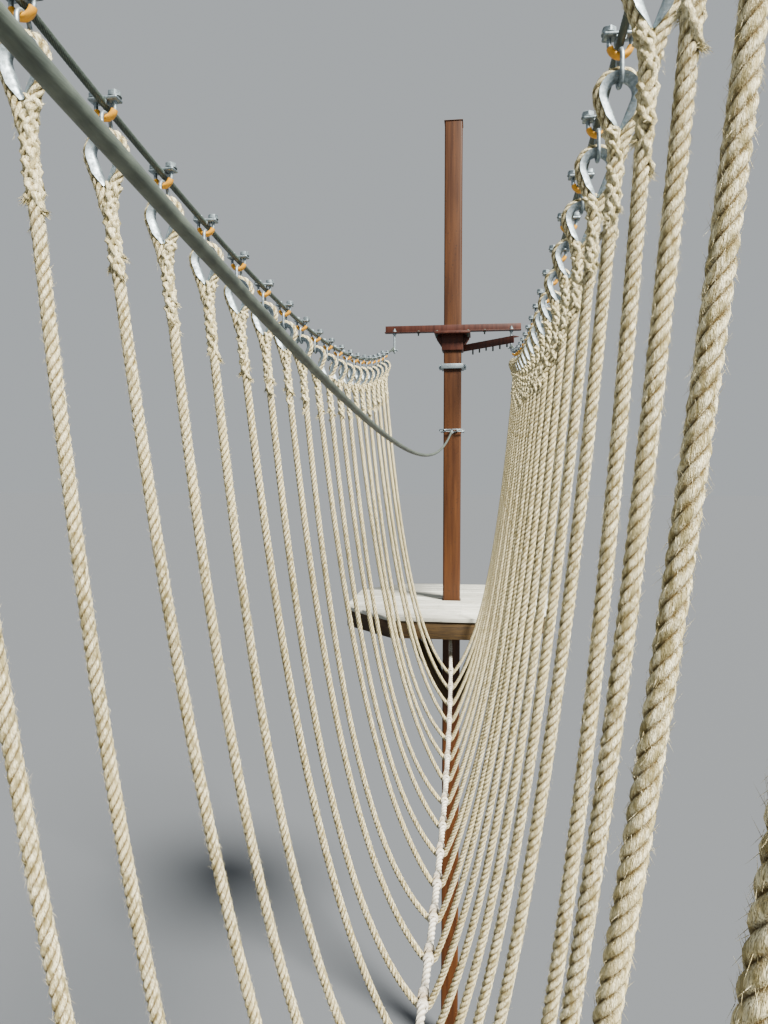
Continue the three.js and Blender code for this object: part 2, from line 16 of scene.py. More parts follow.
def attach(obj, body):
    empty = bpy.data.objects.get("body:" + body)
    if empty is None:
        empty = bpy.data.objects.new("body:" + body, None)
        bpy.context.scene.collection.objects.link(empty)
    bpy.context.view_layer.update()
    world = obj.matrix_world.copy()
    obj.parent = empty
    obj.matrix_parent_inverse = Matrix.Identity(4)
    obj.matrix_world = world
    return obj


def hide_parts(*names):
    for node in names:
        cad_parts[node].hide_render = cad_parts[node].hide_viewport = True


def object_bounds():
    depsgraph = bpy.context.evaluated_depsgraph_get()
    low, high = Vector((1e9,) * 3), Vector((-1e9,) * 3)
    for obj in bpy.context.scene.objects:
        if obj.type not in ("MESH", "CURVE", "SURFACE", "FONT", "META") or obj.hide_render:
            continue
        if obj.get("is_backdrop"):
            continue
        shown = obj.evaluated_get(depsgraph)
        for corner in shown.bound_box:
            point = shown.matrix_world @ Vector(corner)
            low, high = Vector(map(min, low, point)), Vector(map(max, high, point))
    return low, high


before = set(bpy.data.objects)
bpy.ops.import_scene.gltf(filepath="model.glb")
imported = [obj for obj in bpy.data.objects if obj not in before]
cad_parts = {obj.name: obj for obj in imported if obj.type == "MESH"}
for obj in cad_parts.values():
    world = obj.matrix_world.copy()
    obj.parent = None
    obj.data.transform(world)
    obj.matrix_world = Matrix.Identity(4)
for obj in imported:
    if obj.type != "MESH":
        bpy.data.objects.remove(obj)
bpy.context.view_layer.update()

# %% [markdown]
# ## Where the lines run
# The bridge is symmetric about mid-span. Its cables draw together there, and the whole walkway has
# swung to the right, as a hanging bridge does in use. These few sizes repeat those of the solid
# model, in metres, and every rope and fitting is placed from them.

# %% Sizes of the layout
DECK_Z = 5.0
DECK_HALF = 1.05
DECK_EDGE_HALF = 0.54
FIRST_V_Y = 1.13
V_SPACING = 0.3
V_COUNT = 22
SPAN = 2 * FIRST_V_Y + (V_COUNT - 1) * V_SPACING
MID_Y = SPAN / 2

BOW_HALF = 4.12
CABLE_END_X = 0.6
CABLE_DRAW_IN = 0.038
CABLE_SWING = 0.029
FOOT_SWING = 0.098
CABLE_END_Z = DECK_Z + 2.62
CABLE_MID_Z = {"left": DECK_Z + 2.057, "right": DECK_Z + 2.152}
CABLE_SAG_RATE = {"left": 0.0375, "right": 0.0275}
FOOT_MID_Z = DECK_Z - 0.767
FOOT_SAG_RATE = 0.03
SIDES = {"left": -1, "right": 1}


def bow(y):
    """1 at mid-span and 0 where the hand cables end, along a parabola."""
    return 1 - ((y - MID_Y) / BOW_HALF) ** 2


def cable_at(side, y):
    x = SIDES[side] * (CABLE_END_X - CABLE_DRAW_IN * bow(y)) + CABLE_SWING * bow(y)
    return Vector((x, y, CABLE_MID_Z[side] + CABLE_SAG_RATE[side] * (y - MID_Y) ** 2))


def foot_at(y):
    return Vector((FOOT_SWING * bow(y), y, FOOT_MID_Z + FOOT_SAG_RATE * (y - MID_Y) ** 2))


V_PLACES = [FIRST_V_Y + i * V_SPACING for i in range(V_COUNT)]
print("span", SPAN, "m, cables at mid-span", cable_at("left", MID_Y), cable_at("right", MID_Y))

# %% [markdown]
# ## Camera
# The photograph looks along the walkway from a person's eye level, a little to the right of its
# middle. The camera stands there with the same angle of view. It looks slightly down and left.

# %% Camera
CAMERA_PLACE = (0.3137, 0.6864, 6.3623)
YAW_LEFT, PITCH_DOWN = math.radians(7.5423), math.radians(3.1441)
FOCAL_PIXELS, PHOTO_HEIGHT, SENSOR_MM = 739, 1024, 36
CLIP_START, CLIP_END = 0.05, 500

bpy.ops.object.camera_add(location=CAMERA_PLACE, rotation=(math.pi / 2 - PITCH_DOWN, 0, YAW_LEFT))
camera = bpy.context.object
camera.data.sensor_width = SENSOR_MM
camera.data.lens = SENSOR_MM * FOCAL_PIXELS / PHOTO_HEIGHT
camera.data.clip_start = CLIP_START
camera.data.clip_end = CLIP_END
bpy.context.scene.camera = camera
print("lens", round(camera.data.lens, 2), "mm")

# %% [markdown]
# ## Finishes
# Each finish starts from what the real surface is and how it was made. Patterns are as large as on
# the real thing, in metres. A rope, a board or a bar keeps each point's own place from before it was
# bent or turned, and its grain reads that, so the grain follows the piece.

# %% Colours and nodes
OWN_PLACE, EDGE_WEAR, TONE = "own_place", "edge_wear", "tone"
# Sockets of the colour Mix node, whose inputs share their names.
MIX, FIRST, SECOND, RESULT = 0, 6, 7, 2
finishes = {}


def linear(hex_colour):
    """An sRGB hex colour as the linear colour that a shader wants."""
    shares = [int(hex_colour[i:i + 2], 16) / 255 for i in (1, 3, 5)]
    return (*[c / 12.92 if c <= 0.04045 else ((c + 0.055) / 1.055) ** 2.4 for c in shares], 1)


def add(tree, kind, inputs, output=0, **settings):
    """Adds a node with its settings. An input is a value, a hex colour or the output that feeds it."""
    node = tree.nodes.new("ShaderNode" + kind)
    for name, value in settings.items():
        setattr(node, name, value)
    for key, value in inputs.items():
        if isinstance(value, bpy.types.NodeSocket):
            tree.links.new(value, node.inputs[key])
        else:
            node.inputs[key].default_value = linear(value) if isinstance(value, str) else value
    return node.outputs[output]


def new_finish(slot, name, roughness, metallic=0.0, specular=0.5):
    made = bpy.data.materials.new(name)
    made.use_nodes = True
    shader = made.node_tree.nodes["Principled BSDF"]
    shader.inputs["Roughness"].default_value = roughness
    shader.inputs["Metallic"].default_value = metallic
    shader.inputs["Specular IOR Level"].default_value = specular
    finishes[slot] = made
    return made.node_tree, shader


# %% [markdown]
# ### Rope
# Hemp gives dull beige with pale fibre ends and darker weathered stretches. Its creases are painted
# brown, as painted shade with some dirt. A point's distance from the rope's axis tells a crease from
# the crown of a strand, and noise drawn out along the rope gives the yarns, which are 2 to 3 mm
# across. The foot line is worn, nearly white fibre, with the same painted shade in its creases.
# Shoes and the ropes that cross it have stained it grey-brown at each V.

# %% Rope: hemp and worn synthetic fibre
ROPE_R = 0.014
FOOT_R = 0.017
ROPE_CREASE, FOOT_CREASE = 0.72, 0.76
YARN_WIDTH, HAIR_WIDTH, BLOT_WIDTH, STRETCH_LENGTH = 0.0028, 0.0008, 0.009, 0.25
YARN_RELIEF = 0.0026
STAIN_HALF, STAIN_END = 0.01, 0.06


def rope_finish(slot, name, colours, radius, crease, stain=None):
    """Colours go from pale yarn through beige to brown and grey. Brown marks the dark hairs and
    the painted shade in the creases, which lie at their share of the radius."""
    pale, beige, brown, grey = colours
    tree, shader = new_finish(slot, name, 0.92, specular=0.2)
    place = add(tree, "Attribute", {}, "Vector", attribute_name=OWN_PLACE)
    spot = add(tree, "TexCoord", {}, "Object")

    # Yarns and single hairs are drawn out along the rope, and weathered blots a little less.
    drawn = add(tree, "VectorMath", {0: place, 1: (1, 1, 0.13)}, operation="MULTIPLY")
    yarns = add(tree, "TexNoise", {"Vector": drawn, "Scale": 1 / YARN_WIDTH, "Detail": 2.5}, "Fac")
    hairs = add(tree, "TexNoise", {"Vector": drawn, "Scale": 1 / HAIR_WIDTH, "Detail": 2}, "Fac")
    short = add(tree, "VectorMath", {0: place, 1: (1, 1, 0.4)}, operation="MULTIPLY")
    blots = add(tree, "TexNoise", {"Vector": short, "Scale": 1 / BLOT_WIDTH, "Detail": 4}, "Fac")
    broad = add(tree, "TexNoise", {"Vector": spot, "Scale": 1 / STRETCH_LENGTH, "Detail": 2}, "Fac")

    # Height above the creases, made uneven by the yarns.
    section = add(tree, "VectorMath", {0: place, 1: (1, 1, 0)}, operation="MULTIPLY")
    reach = add(tree, "VectorMath", {0: section}, "Value", operation="LENGTH")
    height = add(tree, "MapRange", {"Value": reach, "From Min": crease * radius, "From Max": radius})
    uneven = add(tree, "Math", {0: yarns, 1: 0.9, 2: -0.45}, operation="MULTIPLY_ADD")
    height = add(tree, "Math", {0: height, 1: uneven}, operation="ADD")

    # Pale yarns on beige, dark hairs, grey blots, faded stretches, and brown creases of painted shade and
    # dirt.
    light = add(tree, "MapRange", {"Value": yarns, "From Min": 0.38, "From Max": 0.56})
    colour = add(tree, "Mix", {MIX: light, FIRST: beige, SECOND: pale}, RESULT, data_type="RGBA")
    hairy = add(tree, "MapRange", {"Value": hairs, "From Min": 0.5, "From Max": 0.66, "To Max": 0.85})
    colour = add(tree, "Mix", {MIX: hairy, FIRST: colour, SECOND: brown}, RESULT, data_type="RGBA")
    dull = add(tree, "MapRange", {"Value": blots, "From Min": 0.47, "From Max": 0.62, "To Max": 0.9})
    colour = add(tree, "Mix", {MIX: dull, FIRST: colour, SECOND: grey}, RESULT, data_type="RGBA")
    aged = add(tree, "MapRange", {"Value": broad, "From Min": 0.45, "From Max": 0.8, "To Max": 0.6})
    colour = add(tree, "Mix", {MIX: aged, FIRST: colour, SECOND: beige}, RESULT, data_type="RGBA")
    # The creases are painted brown: painted shade, with some dirt.
    crease_shade_and_dirt = add(tree, "MapRange", {"Value": height, "From Max": 0.95, "To Min": 0.95, "To Max": 0})
    colour = add(tree, "Mix", {MIX: crease_shade_and_dirt, FIRST: colour, SECOND: brown}, RESULT, data_type="RGBA")
    if stain:
        along = add(tree, "SeparateXYZ", {0: spot}, "Y")
        from_v = add(tree, "Math", {0: along, 1: FIRST_V_Y}, operation="SUBTRACT")
        from_v = add(tree, "Math", {0: from_v, 1: V_SPACING / 2}, operation="PINGPONG")
        edges = {"From Min": STAIN_HALF, "From Max": STAIN_END, "To Min": 0.7, "To Max": 0}
        stained = add(tree, "MapRange", {"Value": from_v, **edges})
        colour = add(
            tree, "Mix", {MIX: stained, FIRST: colour, SECOND: stain}, RESULT, data_type="RGBA")
    rough = add(tree, "Math", {0: yarns, 1: hairs}, operation="ADD")
    bump = add(tree, "Bump", {"Height": rough, "Strength": 1.0, "Distance": YARN_RELIEF})
    tree.links.new(colour, shader.inputs["Base Color"])
    tree.links.new(bump, shader.inputs["Normal"])


rope_finish(
    "hemp_rope", "hemp_rope_weathered", ("#FBF3CC", "#DCCD9A", "#5E4C28", "#8E8359"),
    ROPE_R, ROPE_CREASE)
rope_finish(
    "foot_rope", "white_fibre_rope_worn", ("#FFFEF8", "#FBF5E6", "#A59A84", "#DDD5C0"),
    FOOT_R, FOOT_CREASE, stain="#8C7A5E")

# %% [markdown]
# ### Zinc
# Wire rope and fittings are galvanised. Zinc that has weathered outdoors is a soft dark grey on the
# thin wires, drawn darker in the grooves between the strands. On hot-dipped fittings it has frozen
# in spangles of about 6 mm, some bright and some dull, with white bloom.

# %% Wire rope: galvanised steel wires gone dull
CABLE_R, CABLE_CREASE = 0.009, 0.9
CABLE_CROWN = 0.0088
WIRE_WIDTH, WIRE_RELIEF = 0.0012, 0.0005

tree, shader = new_finish("wire_rope", "wire_rope_dull_zinc", 0.5, 0.6)
place = add(tree, "Attribute", {}, "Vector", attribute_name=OWN_PLACE)
section = add(tree, "VectorMath", {0: place, 1: (1, 1, 0)}, operation="MULTIPLY")
reach = add(tree, "VectorMath", {0: section}, "Value", operation="LENGTH")
groove = add(tree, "MapRange", {"Value": reach, "From Min": CABLE_CREASE * CABLE_R, "From Max": CABLE_CROWN})
drawn = add(tree, "VectorMath", {0: place, 1: (1, 1, 0.1)}, operation="MULTIPLY")
wires = add(tree, "TexNoise", {"Vector": drawn, "Scale": 1 / WIRE_WIDTH, "Detail": 1}, "Fac")
shine = add(tree, "MapRange", {"Value": wires, "From Min": 0.35, "From Max": 0.65})
metal = add(tree, "Mix", {MIX: shine, FIRST: "#424C45", SECOND: "#68736B"}, RESULT, data_type="RGBA")
# Darker towards the grooves between the strands.
darker_in_grooves = add(tree, "Mix", {MIX: groove, FIRST: "#363F38", SECOND: metal}, RESULT, data_type="RGBA")
bump = add(tree, "Bump", {"Height": wires, "Strength": 0.6, "Distance": WIRE_RELIEF})
tree.links.new(darker_in_grooves, shader.inputs["Base Color"])
tree.links.new(bump, shader.inputs["Normal"])

# %% Galvanised steel: hot-dipped fittings
SPANGLE_WIDTH, BLOOM_WIDTH, BLOOM_RELIEF = 0.006, 0.012, 0.0006

tree, shader = new_finish("galvanised", "steel_hot_dip_zinc", 0.4, 0.92)
spot = add(tree, "TexCoord", {}, "Object")
spangle = add(tree, "TexVoronoi", {"Vector": spot, "Scale": 1 / SPANGLE_WIDTH}, "Color")
bloom = add(tree, "TexNoise", {"Vector": spot, "Scale": 1 / BLOOM_WIDTH, "Detail": 4}, "Fac")
zinc = add(tree, "Mix", {MIX: spangle, FIRST: "#6F7B80", SECOND: "#A3AFB5"}, RESULT, data_type="RGBA")
dusty = add(tree, "MapRange", {"Value": bloom, "From Min": 0.5, "From Max": 0.75, "To Max": 0.7})
zinc = add(tree, "Mix", {MIX: dusty, FIRST: zinc, SECOND: "#666E6D"}, RESULT, data_type="RGBA")
gloss_range = {"From Min": 0.3, "From Max": 0.7, "To Min": 0.42, "To Max": 0.68}
gloss = add(tree, "MapRange", {"Value": bloom, **gloss_range})
bump = add(tree, "Bump", {"Height": bloom, "Strength": 0.25, "Distance": BLOOM_RELIEF})
tree.links.new(zinc, shader.inputs["Base Color"])
tree.links.new(gloss, shader.inputs["Roughness"])
tree.links.new(bump, shader.inputs["Normal"])

# %% [markdown]
# ### Plastic
# The clip liners are injection-moulded polyamide, which keeps a strong colour with a soft shine and
# fine scuffs. The sheath is extruded, so it shows fine lines along it, and pale chalky scuffs where
# pulleys have run.

# %% Plastic: clip liner and lifeline sheath
SCUFF_WIDTH, SCUFF_RELIEF = 0.004, 0.0004
LINE_WIDTH, LINE_RELIEF, CHALK_WIDTH = 0.0016, 0.0005, 0.03

tree, shader = new_finish("liner", "polyamide_orange_moulded", 0.42)
spot = add(tree, "TexCoord", {}, "Object")
scuffs = add(tree, "TexNoise", {"Vector": spot, "Scale": 1 / SCUFF_WIDTH, "Detail": 4}, "Fac")
orange = add(tree, "Mix", {MIX: scuffs, FIRST: "#BF7C06", SECOND: "#DDA31C"}, RESULT, data_type="RGBA")
bump = add(tree, "Bump", {"Height": scuffs, "Strength": 0.2, "Distance": SCUFF_RELIEF})
tree.links.new(orange, shader.inputs["Base Color"])
tree.links.new(bump, shader.inputs["Normal"])

tree, shader = new_finish("sheath", "polyethylene_sheath_extruded", 0.55)
spot = add(tree, "TexCoord", {}, "Object")
drawn = add(tree, "VectorMath", {0: spot, 1: (1, 0.06, 1)}, operation="MULTIPLY")
lines = add(tree, "TexNoise", {"Vector": drawn, "Scale": 1 / LINE_WIDTH, "Detail": 3}, "Fac")
chalk = add(tree, "TexNoise", {"Vector": spot, "Scale": 1 / CHALK_WIDTH, "Detail": 4}, "Fac")
scuffed = add(tree, "MapRange", {"Value": chalk, "From Min": 0.42, "From Max": 0.75, "To Max": 0.6})
grey = add(tree, "Mix", {MIX: lines, FIRST: "#2F3631", SECOND: "#49524B"}, RESULT, data_type="RGBA")
grey = add(tree, "Mix", {MIX: scuffed, FIRST: grey, SECOND: "#636C61"}, RESULT, data_type="RGBA")
bump = add(tree, "Bump", {"Height": lines, "Strength": 0.5, "Distance": LINE_RELIEF})
tree.links.new(grey, shader.inputs["Base Color"])
tree.links.new(bump, shader.inputs["Normal"])

# %% [markdown]
# ### Paint
# The posts and arms have brushed iron-oxide paint. It chalks in streaks down a post, wears through
# on the edges, and lets small spots of rust come up. The edges are known from the bevel of each
# block, which stores where its rounded edges are.

# %% Painted steel: posts and arms
STREAK_WIDTH, BRUSH_WIDTH, RUST_WIDTH, PAINT_RELIEF = 0.035, 0.003, 0.018, 0.0008


def paint_finish(slot, name, fresh, faded, rust):
    tree, shader = new_finish(slot, name, 0.5, specular=0.3)
    spot = add(tree, "TexCoord", {}, "Object")
    down = add(tree, "VectorMath", {0: spot, 1: (1, 1, 0.05)}, operation="MULTIPLY")
    streaks = add(tree, "TexNoise", {"Vector": down, "Scale": 1 / STREAK_WIDTH, "Detail": 5}, "Fac")
    brush = add(tree, "TexNoise", {"Vector": down, "Scale": 1 / BRUSH_WIDTH, "Detail": 2}, "Fac")
    spots = add(tree, "TexNoise", {"Vector": spot, "Scale": 1 / RUST_WIDTH, "Detail": 6}, "Fac")
    chalky = add(tree, "MapRange", {"Value": streaks, "From Min": 0.35, "From Max": 0.7})
    paint = add(tree, "Mix", {MIX: chalky, FIRST: fresh, SECOND: faded}, RESULT, data_type="RGBA")
    edge = add(tree, "Attribute", {}, "Fac", attribute_name=EDGE_WEAR)
    chipped = add(tree, "Math", {0: edge, 1: spots}, operation="MULTIPLY")
    chipped = add(tree, "MapRange", {"Value": chipped, "From Min": 0.3, "From Max": 0.6, "To Max": 0.9})
    rusty = add(tree, "MapRange", {"Value": spots, "From Min": 0.64, "From Max": 0.72, "To Max": 0.8})
    worn = add(tree, "Math", {0: chipped, 1: rusty}, operation="MAXIMUM")
    colour = add(tree, "Mix", {MIX: worn, FIRST: paint, SECOND: rust}, RESULT, data_type="RGBA")
    gloss = add(tree, "MapRange", {"Value": streaks, "To Min": 0.38, "To Max": 0.68})
    rough = add(tree, "Math", {0: brush, 1: worn}, operation="SUBTRACT")
    bump = add(tree, "Bump", {"Height": rough, "Strength": 0.3, "Distance": PAINT_RELIEF})
    tree.links.new(colour, shader.inputs["Base Color"])
    tree.links.new(gloss, shader.inputs["Roughness"])
    tree.links.new(bump, shader.inputs["Normal"])


paint_finish("post_paint", "steel_paint_orange_brown", "#331803", "#4B2907", "#1F1106")
paint_finish("arm_paint", "steel_paint_red_brown", "#2F1209", "#452013", "#1C0F0A")

# %% [markdown]
# ### Timber
# Softwood left outdoors turns silver on top, with darker grain, drying cracks and a tone of its own
# for every board. The frame keeps its brown stain, painted darker still as shade. Grain lines are
# 2 to 5 mm apart.

# %% Timber: silvered deck boards and brown frame
GRAIN_WIDTH, GRAIN_RELIEF, SPLIT_WIDTH = 0.006, 0.0012, 0.016
BOARD_SHIFT = 37.0


def timber_finish(slot, name, pale, dark, crack, roughness):
    tree, shader = new_finish(slot, name, roughness, specular=0.3)
    place = add(tree, "Attribute", {}, "Vector", attribute_name=OWN_PLACE)
    tone = add(tree, "Attribute", {}, "Fac", attribute_name=TONE)

    # The tone also shifts the grain, so that no two boards are cut from the same wood.
    own = add(tree, "Math", {0: tone, 1: BOARD_SHIFT}, operation="MULTIPLY")
    drawn = add(tree, "VectorMath", {0: place, 1: (0.04, 1, 1)}, operation="MULTIPLY")
    fine = {"Vector": drawn, "W": own, "Scale": 1 / GRAIN_WIDTH, "Detail": 5, "Distortion": 0.4}
    grain = add(tree, "TexNoise", fine, "Fac", noise_dimensions="4D")
    coarse = {"Vector": drawn, "W": own, "Scale": 1 / SPLIT_WIDTH, "Detail": 2}
    split = add(tree, "TexNoise", coarse, "Fac", noise_dimensions="4D")
    streaked = add(tree, "MapRange", {"Value": grain, "From Min": 0.34, "From Max": 0.62})
    wood = add(tree, "Mix", {MIX: streaked, FIRST: dark, SECOND: pale}, RESULT, data_type="RGBA")
    shade = add(tree, "MapRange", {"Value": tone, "To Min": 0, "To Max": 0.75})
    wood = add(tree, "Mix", {MIX: shade, FIRST: wood, SECOND: dark}, RESULT, data_type="RGBA")

    # A crack runs where the coarse noise passes its middle value.
    off = add(tree, "Math", {0: split, 1: 0.5}, operation="SUBTRACT")
    off = add(tree, "Math", {0: off}, operation="ABSOLUTE")
    edges = {"From Min": 0.004, "From Max": 0.012, "To Min": 0.8, "To Max": 0}
    cracked = add(tree, "MapRange", {"Value": off, **edges})
    colour = add(tree, "Mix", {MIX: cracked, FIRST: wood, SECOND: crack}, RESULT, data_type="RGBA")
    relief = add(tree, "Math", {0: grain, 1: cracked}, operation="SUBTRACT")
    bump = add(tree, "Bump", {"Height": relief, "Strength": 0.5, "Distance": GRAIN_RELIEF})
    tree.links.new(colour, shader.inputs["Base Color"])
    tree.links.new(bump, shader.inputs["Normal"])


timber_finish("deck_boards", "softwood_silvered", "#DEDED3", "#96958A", "#4A483F", 0.85)
# The frame's browns are darker than its stain, as painted shade.
timber_finish("frame_timber", "softwood_brown_stain_and_shade", "#463417", "#281C0D", "#150E07", 0.75)
print(len(finishes), "finishes")

# %% [markdown]
# ## Lifeline
# Walkers clip onto a wire rope in a smooth dark plastic sheath, which sags from post to post. It is
# one round line, so a curve with a round bevel is its natural form in Blender. Its points follow
# the parabola of an evenly loaded line.

# %% Handing a piece over


def dress(piece, slot, node=None):
    """Puts a piece on the bridge's one body, for the node it stands for, with a slot's finish."""
    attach(piece, "root")
    if node:
        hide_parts(node)
    piece.data.materials.clear()
    piece.data.materials.append(finishes[slot])


# %% Lifeline
LIFELINE_LOW_Y, LIFELINE_LOW_Z, LIFELINE_SAG_RATE = 4.35, DECK_Z + 1.448, 0.0202
LIFELINE_DIAMETER = 0.018
LIFELINE_ENDS = (0.35, SPAN - 0.35)
LIFELINE_STEPS = 36


def lifeline_at(y):
    return Vector((0, y, LIFELINE_LOW_Z + LIFELINE_SAG_RATE * (y - LIFELINE_LOW_Y) ** 2))


def length_of(route):
    return sum((b - a).length for a, b in zip(route, route[1:]))


def curve_through(name, points, cyclic=False):
    """A curve object whose one spline passes through the points."""
    bpy.ops.object.select_all(action="DESELECT")
    bpy.ops.curve.primitive_nurbs_path_add()
    line = bpy.context.object
    line.name = name
    line.data.splines.clear()
    spline = line.data.splines.new("POLY")
    spline.points.add(len(points) - 1)
    for place, point in zip(spline.points, points):
        place.co = (*point, 1)
    spline.use_cyclic_u = cyclic
    spline.use_smooth = True
    line.data.dimensions = "3D"
    line.data.twist_mode = "MINIMUM"
    return line


lifeline_points = []
for i in range(LIFELINE_STEPS + 1):
    share = i / LIFELINE_STEPS
    lifeline_points.append(lifeline_at(LIFELINE_ENDS[0] * (1 - share) + LIFELINE_ENDS[1] * share))

lifeline = curve_through("lifeline_sheath", lifeline_points)
lifeline.data.bevel_depth = LIFELINE_DIAMETER / 2
lifeline.data.bevel_resolution = 6
lifeline.data.use_fill_caps = True
dress(lifeline, "sheath", "lifeline")

# %% [markdown]
# ## Working by hand
# An operator acts on what is selected, so each helper first selects one object only. Pieces are
# made where they stand or at the origin, and settle() then moves the place into the mesh, as the
# solid model has it. Vertices are picked by a test on each of them.

# %% Selecting, settling and applying


def only(piece):
    bpy.ops.object.select_all(action="DESELECT")
    piece.select_set(True)
    bpy.context.view_layer.objects.active = piece
    return piece


def settle(piece):
    only(piece)
    bpy.ops.object.transform_apply(location=True, rotation=True, scale=True)
    return piece


def pick(piece, test):
    """Edit mode, with the vertices that pass the test selected."""
    only(piece)
    bpy.ops.object.mode_set(mode="EDIT")
    bpy.ops.mesh.select_mode(type="VERT")
    bpy.ops.mesh.select_all(action="DESELECT")
    bpy.ops.object.mode_set(mode="OBJECT")
    for vertex in piece.data.vertices:
        vertex.select = test(vertex)
    bpy.ops.object.mode_set(mode="EDIT")


def push(piece, test, way):
    """Moves the vertices that pass the test."""
    pick(piece, test)
    bpy.ops.transform.translate(value=way)
    bpy.ops.object.mode_set(mode="OBJECT")


def apply(piece, kind, **settings):
    """Adds a modifier with these settings and applies it."""
    modifier = piece.modifiers.new(kind.title(), kind)
    for name, value in settings.items():
        setattr(modifier, name, value)
    only(piece)
    bpy.ops.object.modifier_apply(modifier=modifier.name)
    return piece


# %% Cleaning, joining and copying
DOUBLES = 1e-5


def face_out(piece):
    """Points every face outwards."""
    only(piece)
    bpy.ops.object.mode_set(mode="EDIT")
    bpy.ops.mesh.select_all(action="SELECT")
    bpy.ops.mesh.normals_make_consistent(inside=False)
    bpy.ops.object.mode_set(mode="OBJECT")
    return piece


def clean(piece):
    """Merges doubles, closes holes and points every face outwards."""
    only(piece)
    bpy.ops.object.mode_set(mode="EDIT")
    bpy.ops.mesh.select_all(action="SELECT")
    bpy.ops.mesh.remove_doubles(threshold=DOUBLES)
    bpy.ops.mesh.fill_holes(sides=0)
    bpy.ops.mesh.normals_make_consistent(inside=False)
    bpy.ops.object.mode_set(mode="OBJECT")
    return piece


def joined(name, pieces):
    bpy.ops.object.select_all(action="DESELECT")
    for piece in pieces:
        piece.select_set(True)
    bpy.context.view_layer.objects.active = pieces[0]
    if len(pieces) > 1:
        bpy.ops.object.join()
    whole = bpy.context.object
    whole.name = name
    whole.data.name = name
    return whole


def copy_of(piece, place=(0, 0, 0), rotation=(0, 0, 0), scale=(1, 1, 1)):
    """A copy with its own mesh, at the given place after the given turn and scale."""
    twin = piece.copy()
    twin.data = piece.data.copy()
    bpy.context.scene.collection.objects.link(twin)
    twin.rotation_euler = rotation
    twin.location = place
    twin.scale = scale
    return settle(twin)


# %% Shading and bending


def keep_own_place(piece):
    """Stores each point's place now, so that a grain follows the piece when it is turned or bent."""
    mesh = piece.data
    places = np.zeros(len(mesh.vertices) * 3, np.float32)
    mesh.vertices.foreach_get("co", places)
    attribute = mesh.attributes.new(OWN_PLACE, "FLOAT_VECTOR", "POINT")
    attribute.data.foreach_set("vector", places)
    return piece


def smooth(piece, degrees=35):
    only(piece)
    bpy.ops.object.shade_smooth_by_angle(angle=math.radians(degrees))
    return piece


def moved(piece, change):
    """Runs a change on the array of a mesh's points."""
    places = np.zeros(len(piece.data.vertices) * 3, np.float32)
    piece.data.vertices.foreach_get("co", places)
    places = change(places.reshape(-1, 3))
    piece.data.vertices.foreach_set("co", places.ravel())
    piece.data.update()
    return piece


def bend_along(piece, points, cyclic=False):
    """Bends a piece made along Z so that it follows the points."""
    line = curve_through("bend", points, cyclic)
    apply(piece, "CURVE", object=line, deform_axis="POS_Z")
    bpy.data.objects.remove(line)
    return piece


# %% [markdown]
# ## Laid rope
# A laid rope is a lobed section that turns as it runs on: four strands in the hemp rope, three in
# the foot line. By hand that is a circle whose points are pressed in between the strands, swept by
# a Screw modifier. A right-hand lay, with strands like the stroke in the letter Z, is a positive
# turn. In laid rope the yarns are twisted the other way, so that they end up along the rope. The
# straight rope keeps each point's place before it is bent, and its fibres then run along it.

# %% Laid rope


def strand_section(name, radius, strands, corners, crease, press=0.5):
    """A circle pressed in between the strands, as the outline of strands that lie side by side."""
    middle = 1 / (1 + math.sin(math.pi / strands))
    strand = 1 - middle
    bpy.ops.object.select_all(action="DESELECT")
    bpy.ops.mesh.primitive_circle_add(vertices=strands * corners, radius=radius)
    piece = bpy.context.object
    piece.name = name
    for step in range(1, corners // 2 + 1):
        turn = math.pi / strands * step / (corners / 2)
        spare = strand ** 2 - (middle * math.sin(turn)) ** 2
        reach = middle * math.cos(turn) + math.sqrt(max(0, spare))
        reach = max(crease, 1 - press * (1 - reach))
        wanted = {step % corners, -step % corners}
        pick(piece, lambda vertex: vertex.index % corners in wanted)
        bpy.ops.transform.resize(value=(reach,) * 3, center_override=(0, 0, 0))
        bpy.ops.object.mode_set(mode="OBJECT")
    return piece


def screwed(piece, length, lay, steps, start=0):
    """Sweeps the section along Z, one turn for each lay and steps for each turn."""
    turns = length / lay
    rings = round(steps * abs(turns))
    apply(
        piece, "SCREW", axis="Z", angle=2 * math.pi * turns, iterations=1, screw_offset=length,
        steps=rings, render_steps=rings,
    )
    clean(piece)
    keep_own_place(piece)
    only(piece)
    bpy.ops.object.shade_smooth()
    piece.location.z = start
    return settle(piece)


def laid_rope(name, length, radius, lay, strands, corners, steps, crease):
    """Straight rope along Z. corners is the number of points round each strand."""
    section = strand_section(name, radius, strands, corners, crease)
    return screwed(section, length, lay, steps)


# %% [markdown]
# ## Loose fibres
# Natural fibre rope is hairy, and the hairs catch the light along its edge. A particle system would
# not reach the exported mesh, so each hair is a thin closed spike with three sides, and all the
# hairs of a rope are made at once from arrays of their roots and tips.

# %% Spikes and fuzz
HALF_ROOT_3 = 0.87
FUZZ_WIDTH, FUZZ_SHORTEST = 0.00026, 0.3
FUZZ_ROOT_SHARE = 0.93
FUZZ_LIFT, FUZZ_SWING = (0.15, 0.75), (-0.7, 0.7)
SPIKE_SIDES = ((0, 1, 3), (1, 2, 3), (2, 0, 3), (0, 2, 1))


